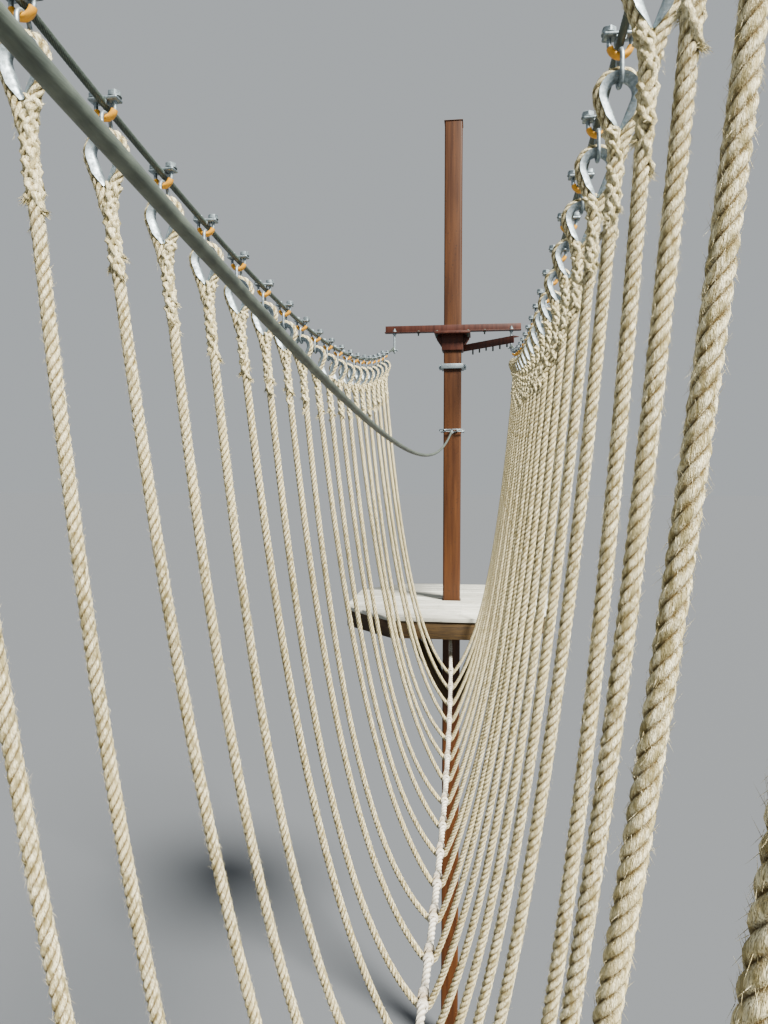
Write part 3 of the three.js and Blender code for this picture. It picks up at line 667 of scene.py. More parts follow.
def spikes(name, roots, tips, width):
    """Fibres as thin closed spikes, three-sided, from arrays of roots and tips."""
    along = tips - roots
    side = np.cross(along, np.array([0.3, 0.5, 0.81]))
    side /= np.linalg.norm(side, axis=1)[:, None]
    other = np.cross(along, side)
    other /= np.linalg.norm(other, axis=1)[:, None]
    corners = [roots + side * width, roots - side * width / 2 + other * width * HALF_ROOT_3]
    corners += [roots - side * width / 2 - other * width * HALF_ROOT_3, tips]
    places = np.stack(corners, axis=1).reshape(-1, 3)
    first = np.arange(len(roots)) * len(corners)
    faces = [first + np.array(triple)[:, None] for triple in SPIKE_SIDES]
    mesh = bpy.data.meshes.new(name)
    mesh.from_pydata(places.tolist(), [], np.concatenate([f.T for f in faces]).tolist())
    piece = bpy.data.objects.new(name, mesh)
    bpy.context.scene.collection.objects.link(piece)
    return keep_own_place(face_out(piece))


def fuzz(name, length, radius, count, seed, longest):
    """Loose fibres that stand off a straight rope, half of them along it and half against it."""
    dice = np.random.default_rng(seed)
    angle = dice.uniform(0, 2 * np.pi, count)
    z = dice.uniform(0, length, count)
    out = np.stack([np.cos(angle), np.sin(angle), np.zeros(count)], axis=1)
    around = np.stack([-np.sin(angle), np.cos(angle), np.zeros(count)], axis=1)
    size = dice.uniform(FUZZ_SHORTEST, 1, count)[:, None] * longest
    lift = dice.uniform(*FUZZ_LIFT, count)[:, None]
    swing = dice.uniform(*FUZZ_SWING, count)[:, None]
    way = np.array([0, 0, 1]) * dice.choice([-1, 1], count)[:, None]
    roots = out * radius * FUZZ_ROOT_SHARE + np.array([0, 0, 1]) * z[:, None]
    tips = roots + (way + out * lift + around * swing) * size
    return spikes(name, roots, tips, FUZZ_WIDTH)


# %% [markdown]
# ## V ropes
# Each V is one length of rope: an eye round a thimble on each hand cable, a splice below each eye,
# and two legs that meet under the foot line. A leg hangs in the curve of a loaded line and leaves
# the foot line at its own angle. The whole V is made straight, with its splices and loose fibres
# on it, and one Curve modifier then bends it along its route.

# %% Route of a leg
# Degrees above the level at which each V rope leaves the foot line, from the near end on.
FOOT_ANGLES = {
    "left": (50, 46, 57, 45, 62, 52, 48, 55, 47, 51, 44, 56, 49, 53, 46, 58, 50, 45, 54, 48, 52, 47),
    "right": (52, 59, 46, 24, 57, 60, 62, 64, 66, 68, 67, 69, 66, 68, 67, 68, 66, 66, 64, 60, 56, 51),
}
LEG_STEPS, LEG_CROWDING = 44, 1.35
SLACK_LOW, SLACK_HIGH, SLACK_HALVINGS = 0.02, 6.0, 60


def curve_slack(width, height, slope):
    """Slack of the loaded curve that starts at the slope and reaches the width and height."""
    low, high = SLACK_LOW, SLACK_HIGH
    for _ in range(SLACK_HALVINGS):
        slack = (low + high) / 2
        rise = height / slack + math.hypot(slope, 1)
        reach = slack * (math.asinh(math.sqrt(rise * rise - 1)) - math.asinh(slope))
        if reach > width:
            high = slack
        else:
            low = slack
    return (low + high) / 2


def leg_route(width, height, angle):
    """Points out and up, from where the leg leaves the foot line to its thimble's tip."""
    under = FOOT_R + ROPE_R
    start = (under * math.sin(angle), -under * math.cos(angle))
    slope = math.tan(angle)
    slack = curve_slack(width - start[0], height - start[1], slope)
    rise = (height - start[1]) / slack + math.hypot(slope, 1)
    turns = math.sqrt(rise * rise - 1) - slope
    points = []
    for i in range(LEG_STEPS + 1):
        along = slope + turns * (i / LEG_STEPS) ** LEG_CROWDING
        out = start[0] + slack * (math.asinh(along) - math.asinh(slope))
        points.append((out, start[1] + slack * (math.hypot(along, 1) - math.hypot(slope, 1))))
    return points


# %% Route round an eye
# Heights below the cable's centre, and the eye's radius at the middle of the rope.
EYE_TIP, EYE_CENTRE, EYE_R = 0.186, 0.10685, 0.042
THROAT, TAIL = (0.0095, 0.207), (0.007, 0.25)
EYE_STEPS = 18


def eye_route(tail_side):
    """Points round one eye as x and z from the cable: from the leg's throat round to the tail."""
    reach = math.hypot(THROAT[0], THROAT[1] - EYE_CENTRE)
    lean = math.atan2(THROAT[0], THROAT[1] - EYE_CENTRE)
    touch = -math.pi / 2 + lean + math.acos(EYE_R / reach)
    points = [(-THROAT[0], -THROAT[1])]
    for i in range(EYE_STEPS + 1):
        angle = math.pi - touch + (2 * touch - math.pi) * i / EYE_STEPS
        points.append((EYE_R * math.cos(angle), -EYE_CENTRE + EYE_R * math.sin(angle)))
    points += [(THROAT[0], -THROAT[1]), (TAIL[0], -TAIL[1])]
    return [(tail_side * x, z) for x, z in points]


# %% Route of half a V
ROUTE_SPACING = 0.012
UNDER_STEPS = 4
TAIL_CLEARANCE = 0.01


def rounded(points, spacing):
    """A smooth route through the points, at about the given spacing."""
    points = [Vector(p) for p in points]
    ends = [2 * points[0] - points[1], *points, 2 * points[-1] - points[-2]]
    route = []
    for a, b, c, d in zip(ends, ends[1:], ends[2:], ends[3:]):
        count = max(1, round((c - b).length / spacing))
        for i in range(count):
            t = i / count
            place = 2 * b + (c - a) * t
            place += (2 * a - 5 * b + 4 * c - d) * t * t
            place += (3 * b - a - 3 * c + d) * t ** 3
            route.append(place / 2)
    return route + [points[-1]]


def half_route(side, index):
    """One half of a V, from the bottom of the foot line up to the tail of its eye."""
    y = V_PLACES[index]
    sign = SIDES[side]
    foot, cable = foot_at(y), cable_at(side, y)
    angle = math.radians(FOOT_ANGLES[side][index])
    leg = leg_route(sign * (cable.x - foot.x), cable.z - EYE_TIP - foot.z, angle)
    under = FOOT_R + ROPE_R
    bottom = []
    for i in range(UNDER_STEPS):
        turn = angle * i / UNDER_STEPS
        bottom.append((under * math.sin(turn), -under * math.cos(turn)))
    top = cable.z - TAIL[1] - TAIL_CLEARANCE - foot.z
    points = [Vector((foot.x + sign * out, y, foot.z + up)) for out, up in bottom + leg if up < top]
    points += [cable + Vector((x, 0, z)) for x, z in eye_route(sign)]
    return rounded(points, ROUTE_SPACING)


print("half of the first V is", round(length_of(half_route("left", 0)), 3), "m long")

# %% [markdown]
# ## Splices
# Below each eye the rope's four strands are tucked back into the leg, against the lay, and cut off
# one after another. Each is a plain circle swept by Screw with the opposite turn. It is then lifted
# where it passes over a strand of the leg and let in where it passes under one, so that the splice
# gets its braided look. A tuft of fibres stands out at each cut end.

# %% Thicker rope and woven strands
ROPE_STRANDS, ROPE_LAY = 4, 0.086
TUCK_LAY, TUCK_R = -0.16, 0.0081
TUCK_MIDDLE, TUCK_LIFT = 0.0102, 0.0036
TUCK_CORNERS, TUCK_STEPS = 8, 16
SPLICE_LENGTH, SPLICE_SWELL = 0.24, 0.15
SWELL_IN, SWELL_OUT = 0.015, 0.08
UNEVENNESS = 0.018
CUT_SHARE, CUT_LENGTH = 0.25, 0.03
TAIL_FLARE, TAIL_LENGTH = 0.0045, 0.014


def swell(rope, length, throat, seed):
    """Thickens the rope below each eye, thins its cut ends and roughens its yarns."""
    def change(places):
        from_end = np.minimum(places[:, 2], length - places[:, 2])
        past = from_end - throat
        share = np.clip(past / SWELL_IN, 0, 1) * np.clip((SPLICE_LENGTH - past) / SWELL_OUT, 0, 1)
        uneven = np.random.default_rng(500 + seed).normal(0, UNEVENNESS, len(places))
        places[:, :2] *= (1 + SPLICE_SWELL * share + uneven)[:, None]
        places[:, :2] *= np.clip(CUT_SHARE + from_end / CUT_LENGTH, 0, 1)[:, None]
        return places
    return moved(rope, change)


def weave(strand, turn, start, end):
    """Takes a wound strand over one strand of the rope and under the next, and lifts its cut end."""
    def change(places):
        z = places[:, 2]
        around = turn + 2 * np.pi * (z - min(start, end)) / TUCK_LAY
        past_ridge = 2 * np.pi * z / ROPE_LAY - around
        lift = TUCK_LIFT * np.cos(ROPE_STRANDS / 2 * past_ridge)
        lift += TAIL_FLARE * np.clip(1 - np.abs(z - end) / TAIL_LENGTH, 0, 1)
        places[:, 0] += lift * np.cos(around)
        places[:, 1] += lift * np.sin(around)
        return places
    return moved(strand, change)


# %% One splice
STRAND_SHARES = (1.0, 0.9, 0.8, 0.7)
TURN_OF_EACH_SPLICE = 0.7
TUFT_COUNT, TUFT_ROOT_R, TUFT_SPREAD, TUFT_OUT, TUFT_ALONG = 60, 0.0145, 0.0032, 0.9, 0.8
TUFT_SHORTEST, TUFT_LONGEST, TUFT_TANGLE, TUFT_WIDTH = 0.004, 0.013, 0.0035, 0.0007


def tucked_splice(name, throat, way, seed):
    """Strands tucked against the lay, from the throat on. way is 1 up the rope, -1 down."""
    parts = []
    dice = np.random.default_rng(1000 + seed)
    for k, share in enumerate(STRAND_SHARES):
        length = SPLICE_LENGTH * share
        end = throat + way * length
        turn = 2 * math.pi * k / ROPE_STRANDS + TURN_OF_EACH_SPLICE * seed
        middle = Vector((TUCK_MIDDLE * math.cos(turn), TUCK_MIDDLE * math.sin(turn), 0))
        bpy.ops.object.select_all(action="DESELECT")
        bpy.ops.mesh.primitive_circle_add(vertices=TUCK_CORNERS, radius=TUCK_R, location=middle)
        circle = settle(bpy.context.object)
        strand = screwed(circle, length, TUCK_LAY, TUCK_STEPS, min(throat, end))
        parts.append(weave(strand, turn, throat, end))
        end_turn = turn + (2 * math.pi * length / TUCK_LAY if way > 0 else 0)
        out = np.array([math.cos(end_turn), math.sin(end_turn), 0])
        middles = out * TUFT_ROOT_R + np.array([0, 0, end])
        roots = middles + dice.normal(0, TUFT_SPREAD, (TUFT_COUNT, 3))
        reach = dice.uniform(TUFT_SHORTEST, TUFT_LONGEST, (TUFT_COUNT, 1))
        tips = roots + (out * TUFT_OUT + np.array([0, 0, way * TUFT_ALONG])) * reach
        tips += dice.normal(0, TUFT_TANGLE, (TUFT_COUNT, 3))
        parts.append(spikes(name + "_tuft", roots, tips, TUFT_WIDTH))
    return parts


# %% V ropes
# The ropes next to the camera get more corners and far more loose fibres than the others.
NEAR_COUNT = 7
NEAR_ROPE = {"corners": 6, "steps": 16}
FAR_ROPE = {"corners": 4, "steps": 12}
NEAR_FIBRES, FAR_FIBRES, ROPE_FIBRE = 8500, 900, 0.014
# The splice reaches a little way over the eye's tail.
SPLICE_OVERLAP = 0.03
SPLICE_START = length_of([Vector((x, 0, z)) for x, z in eye_route(1)]) - SPLICE_OVERLAP

v_ropes = []
for index in range(V_COUNT):
    near = index < NEAR_COUNT
    route = [*reversed(half_route("left", index)), *half_route("right", index)[1:]]
    length = length_of(route)
    node = f"v_rope_{index + 1:02d}"
    name = node + "_laid"
    detail = NEAR_ROPE if near else FAR_ROPE
    rope = laid_rope(name, length, ROPE_R, ROPE_LAY, ROPE_STRANDS, crease=ROPE_CREASE, **detail)
    swell(rope, length, SPLICE_START, index)
    fibres = NEAR_FIBRES if near else FAR_FIBRES
    parts = [rope, fuzz(name + "_fuzz", length, ROPE_R, fibres, index, ROPE_FIBRE)]
    parts += tucked_splice(name, SPLICE_START, 1, index)
    parts += tucked_splice(name, length - SPLICE_START, -1, index + V_COUNT)
    whole = joined(name, parts)
    bend_along(whole, route)
    dress(whole, "hemp_rope", node)
    v_ropes.append(whole)
print(len(v_ropes), "V ropes,", sum(len(r.data.polygons) for r in v_ropes), "faces")

# %% [markdown]
# ## Hangers
# A U-shaped clip is bolted round the hand cable under a flat saddle plate. A long link hangs in the
# clip's bow, and the thimble of a V rope hangs in the link. Round bar is easiest drawn as a curve
# with a round bevel and turned into a mesh. One hanger is modelled about the cable's centre, and
# each place gets its own copy.

# %% Bars


def bar(name, points, radius, cyclic=False, sides=3):
    """Round bar bent along the points, as a mesh."""
    line = curve_through(name, points, cyclic)
    line.data.bevel_depth = radius
    line.data.bevel_resolution = sides
    line.data.use_fill_caps = True
    only(line)
    bpy.ops.object.convert(target="MESH")
    piece = bpy.context.object
    return smooth(keep_own_place(clean(piece)), 50)


def rod(name, start, end, radius):
    """Straight round bar between two places."""
    return bar(name, [Vector(start), Vector(end)], radius)


def arc_points(centre, radius, start, stop, steps, plane="XZ"):
    """Points of an arc in a plane, from the plane's first axis towards its second, in degrees."""
    first, second = ("XYZ".index(axis) for axis in plane)
    points = []
    for i in range(steps + 1):
        angle = math.radians(start + (stop - start) * i / steps)
        place = list(centre)
        place[first] += radius * math.cos(angle)
        place[second] += radius * math.sin(angle)
        points.append(Vector(place))
    return points


# %% Nuts and blocks
tones = random.Random(5)


def block(name, low, high, bevel=0.002, segments=2):
    """A box between two corners with rounded edges. It keeps its own place, wear and a tone."""
    low, high = Vector(low), Vector(high)
    bpy.ops.object.select_all(action="DESELECT")
    bpy.ops.mesh.primitive_cube_add(size=1, scale=high - low)
    piece = settle(bpy.context.object)
    piece.name = name
    apply(piece, "BEVEL", width=bevel, segments=segments, limit_method="NONE")
    keep_own_place(piece)
    half = (high - low) / 2
    on_face = [any(abs(v.co[i]) > half[i] - DOUBLES for i in range(3)) for v in piece.data.vertices]
    wear = piece.data.attributes.new(EDGE_WEAR, "FLOAT", "POINT")
    wear.data.foreach_set("value", [0.0 if flat else 1.0 for flat in on_face])
    tone = piece.data.attributes.new(TONE, "FLOAT", "POINT")
    tone.data.foreach_set("value", [tones.random()] * len(on_face))
    piece.location = (low + high) / 2
    return settle(smooth(piece, 40))


def prism(name, place, radius, height, sides=6, bevel=0.0008, turn=0.0, axis="Z"):
    """A nut, bolt head or washer that stands on the place, with its edges broken."""
    bpy.ops.object.select_all(action="DESELECT")
    bpy.ops.mesh.primitive_cylinder_add(vertices=sides, radius=radius, depth=height)
    piece = bpy.context.object
    piece.name = name
    apply(piece, "BEVEL", width=bevel, segments=1, limit_method="ANGLE", angle_limit=math.radians(35))
    keep_own_place(piece)
    piece.location = (0, 0, height / 2)
    piece.rotation_euler = (0, 0, turn)
    settle(piece)
    piece.rotation_euler = {"X": (0, math.pi / 2, 0), "Y": (-math.pi / 2, 0, 0), "Z": (0, 0, 0)}[axis]
    piece.location = place
    return settle(smooth(piece, 30))


# %% One hanger: clip, saddle, nuts, link and liner
CLIP_R, ROD_R, STUD_TOP = 0.023, 0.005, 0.0305
BOW_CENTRE_Z, BOW_TOP_Z = -0.007, 0.012
SADDLE_HALF, SADDLE_LOW, SADDLE_HIGH, SADDLE_EDGE = (0.036, 0.0165), 0.0072, 0.0155, 0.0038
SEAT_HALF_Y, SEAT_Z, SEAT_R = 0.015, 0.0045, 0.0105
WASHER_R, WASHER_THICK, CLIP_NUT_R, CLIP_NUT_HIGH = 0.0168, 0.0018, 0.0158, 0.0115
LINK_R = 0.0048
LINK_HALF, LINK_TOP, LINK_BOTTOM = 0.021, -0.0175, -0.0905
LINER_R, LINER_WIDEN, LINER_INSET = 0.0072, 1.4, 0.0012

bow_points = [Vector((-CLIP_R, 0, STUD_TOP)), Vector((-CLIP_R, 0, BOW_TOP_Z))]
bow_points += arc_points((0, 0, BOW_CENTRE_Z), CLIP_R, 180, 360, 14)
bow_points += [Vector((CLIP_R, 0, BOW_TOP_Z)), Vector((CLIP_R, 0, STUD_TOP))]
saddle_low = (-SADDLE_HALF[0], -SADDLE_HALF[1], SADDLE_LOW)
clip_parts = [
    bar("clip_bow", bow_points, ROD_R),
    block("saddle", saddle_low, (*SADDLE_HALF, SADDLE_HIGH), SADDLE_EDGE, 3),
    rod("seat", (0, -SEAT_HALF_Y, SEAT_Z), (0, SEAT_HALF_Y, SEAT_Z), SEAT_R),
]
for x in (-CLIP_R, CLIP_R):
    nut_z = SADDLE_HIGH + WASHER_THICK
    clip_parts.append(prism("washer", (x, 0, SADDLE_HIGH), WASHER_R, WASHER_THICK, 20, 0.0005))
    clip_parts.append(prism("nut", (x, 0, nut_z), CLIP_NUT_R, CLIP_NUT_HIGH, 6, 0.0016, 0.3 + 9 * x))

link_points = arc_points((0, 0, LINK_TOP - LINK_HALF), LINK_HALF, 0, 180, 10, "YZ")
link_points += arc_points((0, 0, LINK_BOTTOM + LINK_HALF), LINK_HALF, 180, 360, 10, "YZ")
clip_parts.append(bar("link", link_points, LINK_R, cyclic=True))
clip = joined("clip", clip_parts)

liner = bar("liner", arc_points((0, 0, BOW_CENTRE_Z), CLIP_R - LINER_INSET, 192, 348, 12), LINER_R)
only(liner)
bpy.ops.transform.resize(value=(1, LINER_WIDEN, 1), center_override=(0, 0, 0))
settle(liner)
print("hanger:", len(clip.data.polygons), "faces; liner:", len(liner.data.polygons), "faces")

# %% [markdown]
# ## Thimbles
# A thimble is a channel of galvanised sheet bent to a pointed drop, and the rope lies in it. The
# strip is made flat along Z, its edges are folded up, Solidify gives the sheet its thickness, and
# a Curve modifier bends it to the drop. Towards its two ends, which meet in the tip, the channel is
# narrow, so that the rope closes over it.

# %% One thimble
THIMBLE_R = 0.0268
CHANNEL_HALF, CHANNEL_DEPTH, SHEET = 0.0156, 0.0165, 0.0022
TIP_LIFT = 0.004
TIP_DEPTH_SHARE, TIP_WIDTH_SHARE, TIP_TAPER = 0.3, 0.6, 0.05
# Which part of the strip is folded, outside in, and the share of the depth that each fold lifts.
FOLDS = ((0.99, 0.75), (0.6, 0.25))


def drop_route():
    """Centre line of the channel's floor, from the tip round the top and back to the tip."""
    reach = EYE_TIP - TIP_LIFT - EYE_CENTRE
    touch = math.degrees(-math.pi / 2 + math.acos(THIMBLE_R / reach))
    tip = Vector((0, 0, -EYE_TIP + TIP_LIFT))
    around = arc_points((0, 0, -EYE_CENTRE), THIMBLE_R, touch, 180 - touch, 22)
    straight = [tip.lerp(around[0], t) for t in (0, 0.2, 0.4, 0.6, 0.8)]
    mirrored = [Vector((-p.x, 0, p.z)) for p in reversed(straight)]
    return straight + around + mirrored


def narrow(places):
    """Narrows the channel's sides towards both of its ends."""
    from_end = np.minimum(places[:, 2], thimble_length - places[:, 2])
    places[:, 1] *= np.clip(TIP_DEPTH_SHARE + from_end / TIP_TAPER, 0, 1)
    places[:, 0] *= np.clip(TIP_WIDTH_SHARE + from_end / TIP_TAPER, 0, 1)
    return places


thimble_route = drop_route()
thimble_length = length_of(thimble_route)
bpy.ops.object.select_all(action="DESELECT")
bpy.ops.mesh.primitive_grid_add(x_subdivisions=6, y_subdivisions=56, size=1)
thimble = bpy.context.object
thimble.rotation_euler = (math.pi / 2, 0, 0)
thimble.scale = (2 * CHANNEL_HALF, thimble_length, 1)
thimble.location = (0, 0, thimble_length / 2)
settle(thimble)
for share, lift in FOLDS:
    outside = share * CHANNEL_HALF
    push(thimble, lambda vertex: abs(vertex.co.x) > outside, (0, -lift * CHANNEL_DEPTH, 0))
moved(thimble, narrow)
apply(thimble, "SOLIDIFY", thickness=SHEET, offset=0)
clean(thimble)
keep_own_place(thimble)
bend_along(thimble, thimble_route)
smooth(thimble, 60)
print("thimble:", len(thimble.data.polygons), "faces,", round(1000 * thimble_length), "mm of channel")

# %% [markdown]
# ## A row of hangers
# Every clip has been done up by hand, so each one leans and turns a little on its cable. The copies
# of one row are joined into three pieces: its steel clips and links, its liners and its thimbles.

# %% Hangers in place
CLIP_LEAN, CLIP_TURN = 0.03, 0.09

dice = random.Random(7)
for side in SIDES:
    clips, liners, thimbles = [], [], []
    for y in V_PLACES:
        place = cable_at(side, y)
        lean = dice.uniform(-CLIP_LEAN, CLIP_LEAN)
        tilt = (0, lean, dice.uniform(-CLIP_TURN, CLIP_TURN))
        clips.append(copy_of(clip, place, tilt))
        liners.append(copy_of(liner, place, tilt))
        thimbles.append(copy_of(thimble, place))
    for name, parts, slot in (
        (f"{side}_clips_and_links", clips, "galvanised"),
        (f"{side}_clip_liners", liners, "liner"),
        (f"{side}_thimbles", thimbles, "galvanised"),
    ):
        whole = joined(name, parts)
        dress(whole, slot)
        print(name, len(whole.data.polygons), "faces")
for piece in (clip, liner, thimble):
    bpy.data.objects.remove(piece)

# %% [markdown]
# ## Hand cables and foot line
# A hand cable is wire rope with twelve slim strands outside, and the foot line is laid rope of
# three, so both are made as the V ropes are. Between the post and the first V each line runs
# straight, because nothing pulls it down there.

# %% Cable ends and cables
EYE_BOLT_Y = 0.135
# A cable starts just inside its ferrule, a little lower than the eye bolt's ring.
CABLE_START, CABLE_DROP = EYE_BOLT_Y + 0.1327, 0.012
CABLE_LAY, CABLE_STRANDS = 0.13, 12
LINE_SPACING = 0.03


def line_route(end, at):
    """From a line's near end, through its place over every V, to the far end."""
    far_end = Vector((end.x, SPAN - end.y, end.z))
    return rounded([end, *[at(y) for y in V_PLACES], far_end], LINE_SPACING)


for side, sign in SIDES.items():
    end = Vector((sign * CABLE_END_X, CABLE_START, CABLE_END_Z - CABLE_DROP))
    route = line_route(end, lambda y: cable_at(side, y))
    name = f"{side}_hand_cable_wire"
    cable = laid_rope(
        name, length_of(route), CABLE_R, CABLE_LAY, CABLE_STRANDS, corners=2, steps=14,
        crease=CABLE_CREASE)
    bend_along(cable, route)
    dress(cable, "wire_rope", f"{side}_hand_cable")
    print(name, round(length_of(route), 3), "m,", len(cable.data.polygons), "faces")

# %% Foot line
FOOT_START, FOOT_LAY, FOOT_STRANDS = 0.2347, 0.112, 3
FOOT_FIBRES, FOOT_FIBRE = 2500, 0.01

foot_end = Vector((0, FOOT_START + 0.03, foot_at(FOOT_START).z))
foot_route = line_route(foot_end, foot_at)
foot_length = length_of(foot_route)
foot_parts = [
    laid_rope(
        "foot_line_laid", foot_length, FOOT_R, FOOT_LAY, FOOT_STRANDS, corners=6, steps=14,
        crease=FOOT_CREASE),
    fuzz("foot_fuzz", foot_length, FOOT_R, FOOT_FIBRES, 77, FOOT_FIBRE),
]
foot_line = joined("foot_line_laid", foot_parts)
bend_along(foot_line, foot_route)
dress(foot_line, "foot_rope", "foot_line")
print("foot line", round(foot_length, 3), "m,", len(foot_line.data.polygons), "faces")

# %% [markdown]
# ## Lashings
# A thin cord ties the foot line down on every V. It winds round the line on both sides of the rope
# and crosses under it. The windings are a small circle swept by Screw, and the crossings are bars
# bent round both ropes. One lashing is modelled and copied to each V.

# %% Lashings
CORD_R = 0.0042
COIL_PITCH, COIL_TURNS, COIL_REACH = 2.1 * CORD_R, 3, 0.021
TIE_END_Y, TIE_HALF_X, TIE_SKEW, TIE_SPACING = 0.025, 0.012, 0.004, 0.009
LASHING_PLAY = 0.004


def coil(name, start, turns):
    """A cord wound round the foot line, from a start along Y."""
    bpy.ops.object.select_all(action="DESELECT")
    bpy.ops.mesh.primitive_circle_add(
        vertices=7, radius=CORD_R, location=(FOOT_R + CORD_R * 0.6, 0, 0), rotation=(math.pi / 2, 0, 0))
    piece = settle(bpy.context.object)
    piece.name = name
    apply(
        piece, "SCREW", axis="Z", angle=2 * math.pi, iterations=turns, screw_offset=COIL_PITCH,
        steps=14, render_steps=14,
    )
    keep_own_place(clean(piece))
    piece.rotation_euler.x = -math.pi / 2
    piece.location.y = start
    return smooth(settle(piece), 60)


coil_starts = (COIL_REACH, -COIL_REACH - COIL_TURNS * COIL_PITCH)
lashing_parts = [coil("coil", start, COIL_TURNS) for start in coil_starts]
around = FOOT_R + CORD_R * 0.7
below = FOOT_R + 2 * ROPE_R + CORD_R * 0.8
for sign in (-1, 1):
    tie = [
        (0, -TIE_END_Y, around), (sign * around, -COIL_REACH, 0), (sign * TIE_HALF_X, 0, -below),
        (-sign * TIE_HALF_X, TIE_SKEW, -below), (-sign * around, COIL_REACH, 0), (0, TIE_END_Y, around),
    ]
    lashing_parts.append(bar("tie", rounded(tie, TIE_SPACING), CORD_R, sides=2))
lashing = joined("lashing", lashing_parts)
dice = random.Random(3)
lashings = []
for y in V_PLACES:
    play = Vector((0, dice.uniform(-LASHING_PLAY, LASHING_PLAY), 0))
    lashings.append(copy_of(lashing, foot_at(y) + play))
bpy.data.objects.remove(lashing)
whole = joined("foot_lashings", lashings)
dress(whole, "foot_rope")
print("lashings", len(whole.data.polygons), "faces")

# %% [markdown]
# ## Posts and steelwork
# The near post is modelled, and the far one is its mirror image across mid-span. The post is a
# square hollow section, so its edges are rounded as cold-formed steel has them, and it gets a cap
# and a bolted base plate. Collars clamp round it and carry the arms, the guys and the foot line.

# %% Mirror images


def far_twin(piece, name):
    """The same piece at the far end, as a mirror image."""
    twin = face_out(copy_of(piece, (0, SPAN, 0), scale=(1, -1, 1)))
    twin.name = name
    twin.data.name = name
    return twin


def both_ends(piece, node, slot, label):
    """Names a near piece and its far twin, hides the nodes they stand for and gives both the finish."""
    piece.name = f"near_{label}"
    pair = {"near": piece, "far": far_twin(piece, f"far_{label}")}
    for end, one in pair.items():
        dress(one, slot, f"{end}_{node}" if node else None)
    print(label, len(piece.data.polygons), "faces")


# %% Parts of a post
POST_HALF, POST_TOP = 0.09, DECK_Z + 4.95
CAP_HALF, CAP_THICK, POST_CORNER = 0.096, 0.006, 0.016
BASE_HALF, BASE_THICK = 0.21, 0.025
GUSSET_LENGTH, GUSSET_HEIGHT, GUSSET_THICK = 0.095, 0.18, 0.012
GUSSET_TOP_START, GUSSET_TOP_SHARE, GUSSET_TOP_DROP = 0.05, 0.85, 0.02
WELD = 0.005


def square_tube(name, half, low_z, high_z, corner):
    """A square section between two heights with round corners."""
    bpy.ops.object.select_all(action="DESELECT")
    height = high_z - low_z
    bpy.ops.mesh.primitive_cube_add(size=1, scale=(2 * half, 2 * half, height))
    piece = settle(bpy.context.object)
    piece.name = name
    only(piece)
    bpy.ops.object.mode_set(mode="EDIT")
    bpy.ops.mesh.select_mode(type="EDGE")
    bpy.ops.mesh.select_all(action="DESELECT")
    bpy.ops.object.mode_set(mode="OBJECT")
    for edge in piece.data.edges:
        a, b = (piece.data.vertices[i].co for i in edge.vertices)
        edge.select = abs(a.z - b.z) > height / 2
    bpy.ops.object.mode_set(mode="EDIT")
    bpy.ops.mesh.bevel(offset=corner, segments=4)
    bpy.ops.object.mode_set(mode="OBJECT")
    keep_own_place(piece)
    piece.location.z = (low_z + high_z) / 2
    return settle(smooth(piece, 40))


def gusset(name, turn):
    """Triangular plate that stiffens the foot of the post."""
    piece = block(
        name, (POST_HALF - WELD, -GUSSET_THICK / 2, BASE_THICK),
        (POST_HALF + GUSSET_LENGTH, GUSSET_THICK / 2, BASE_THICK + GUSSET_HEIGHT), 0.0015,
    )
    out, up = POST_HALF + GUSSET_TOP_START, BASE_THICK + GUSSET_TOP_START
    way = (-GUSSET_LENGTH * GUSSET_TOP_SHARE, 0, -GUSSET_TOP_DROP)
    push(piece, lambda vertex: vertex.co.x > out and vertex.co.z > up, way)
    piece.rotation_euler.z = turn
    return settle(piece)


# %% Post and anchor bolts
ANCHOR_X = 0.165
# Radius and height of each.
ANCHOR_WASHER, ANCHOR_NUT, ANCHOR_STUD = (0.024, 0.004), (0.018, 0.016), (0.01, 0.036)

cap_z = POST_TOP - CAP_THICK
post_parts = [
    square_tube("post", POST_HALF, BASE_THICK - 0.001, cap_z, POST_CORNER),
    block("cap", (-CAP_HALF, -CAP_HALF, cap_z), (CAP_HALF, CAP_HALF, POST_TOP), 0.002),
    block("base", (-BASE_HALF, -BASE_HALF, 0), (BASE_HALF, BASE_HALF, BASE_THICK), 0.003),
]
for i in range(4):
    post_parts.append(gusset(f"gusset_{i}", i * math.pi / 2))
both_ends(joined("post", post_parts), "post", "post_paint", "post_dressed")

anchor_parts = []
for x in (-ANCHOR_X, ANCHOR_X):
    for y in (-ANCHOR_X, ANCHOR_X):
        nut_z = BASE_THICK + ANCHOR_WASHER[1]
        anchor_parts.append(prism("washer", (x, y, BASE_THICK), *ANCHOR_WASHER, 20, 0.0006))
        anchor_parts.append(prism("nut", (x, y, nut_z), *ANCHOR_NUT, 6, 0.0016, x + y))
        anchor_parts.append(prism("stud", (x, y, BASE_THICK), *ANCHOR_STUD, 16, 0.001))
both_ends(joined("anchors", anchor_parts), None, "galvanised", "anchor_bolts")

# %% [markdown]
# ## Collars
# A collar is four plates clamped round the post. The guy collar has two pairs of ears with a bolt
# through them. The head collar carries a flat seat for the cross arm, with four tapered webs under
# it. The foot collar has a slotted lug, in which the foot line's shackle hangs.

# %% Guy collar
GAP = 0.0003
PLATE_EDGE = 0.003


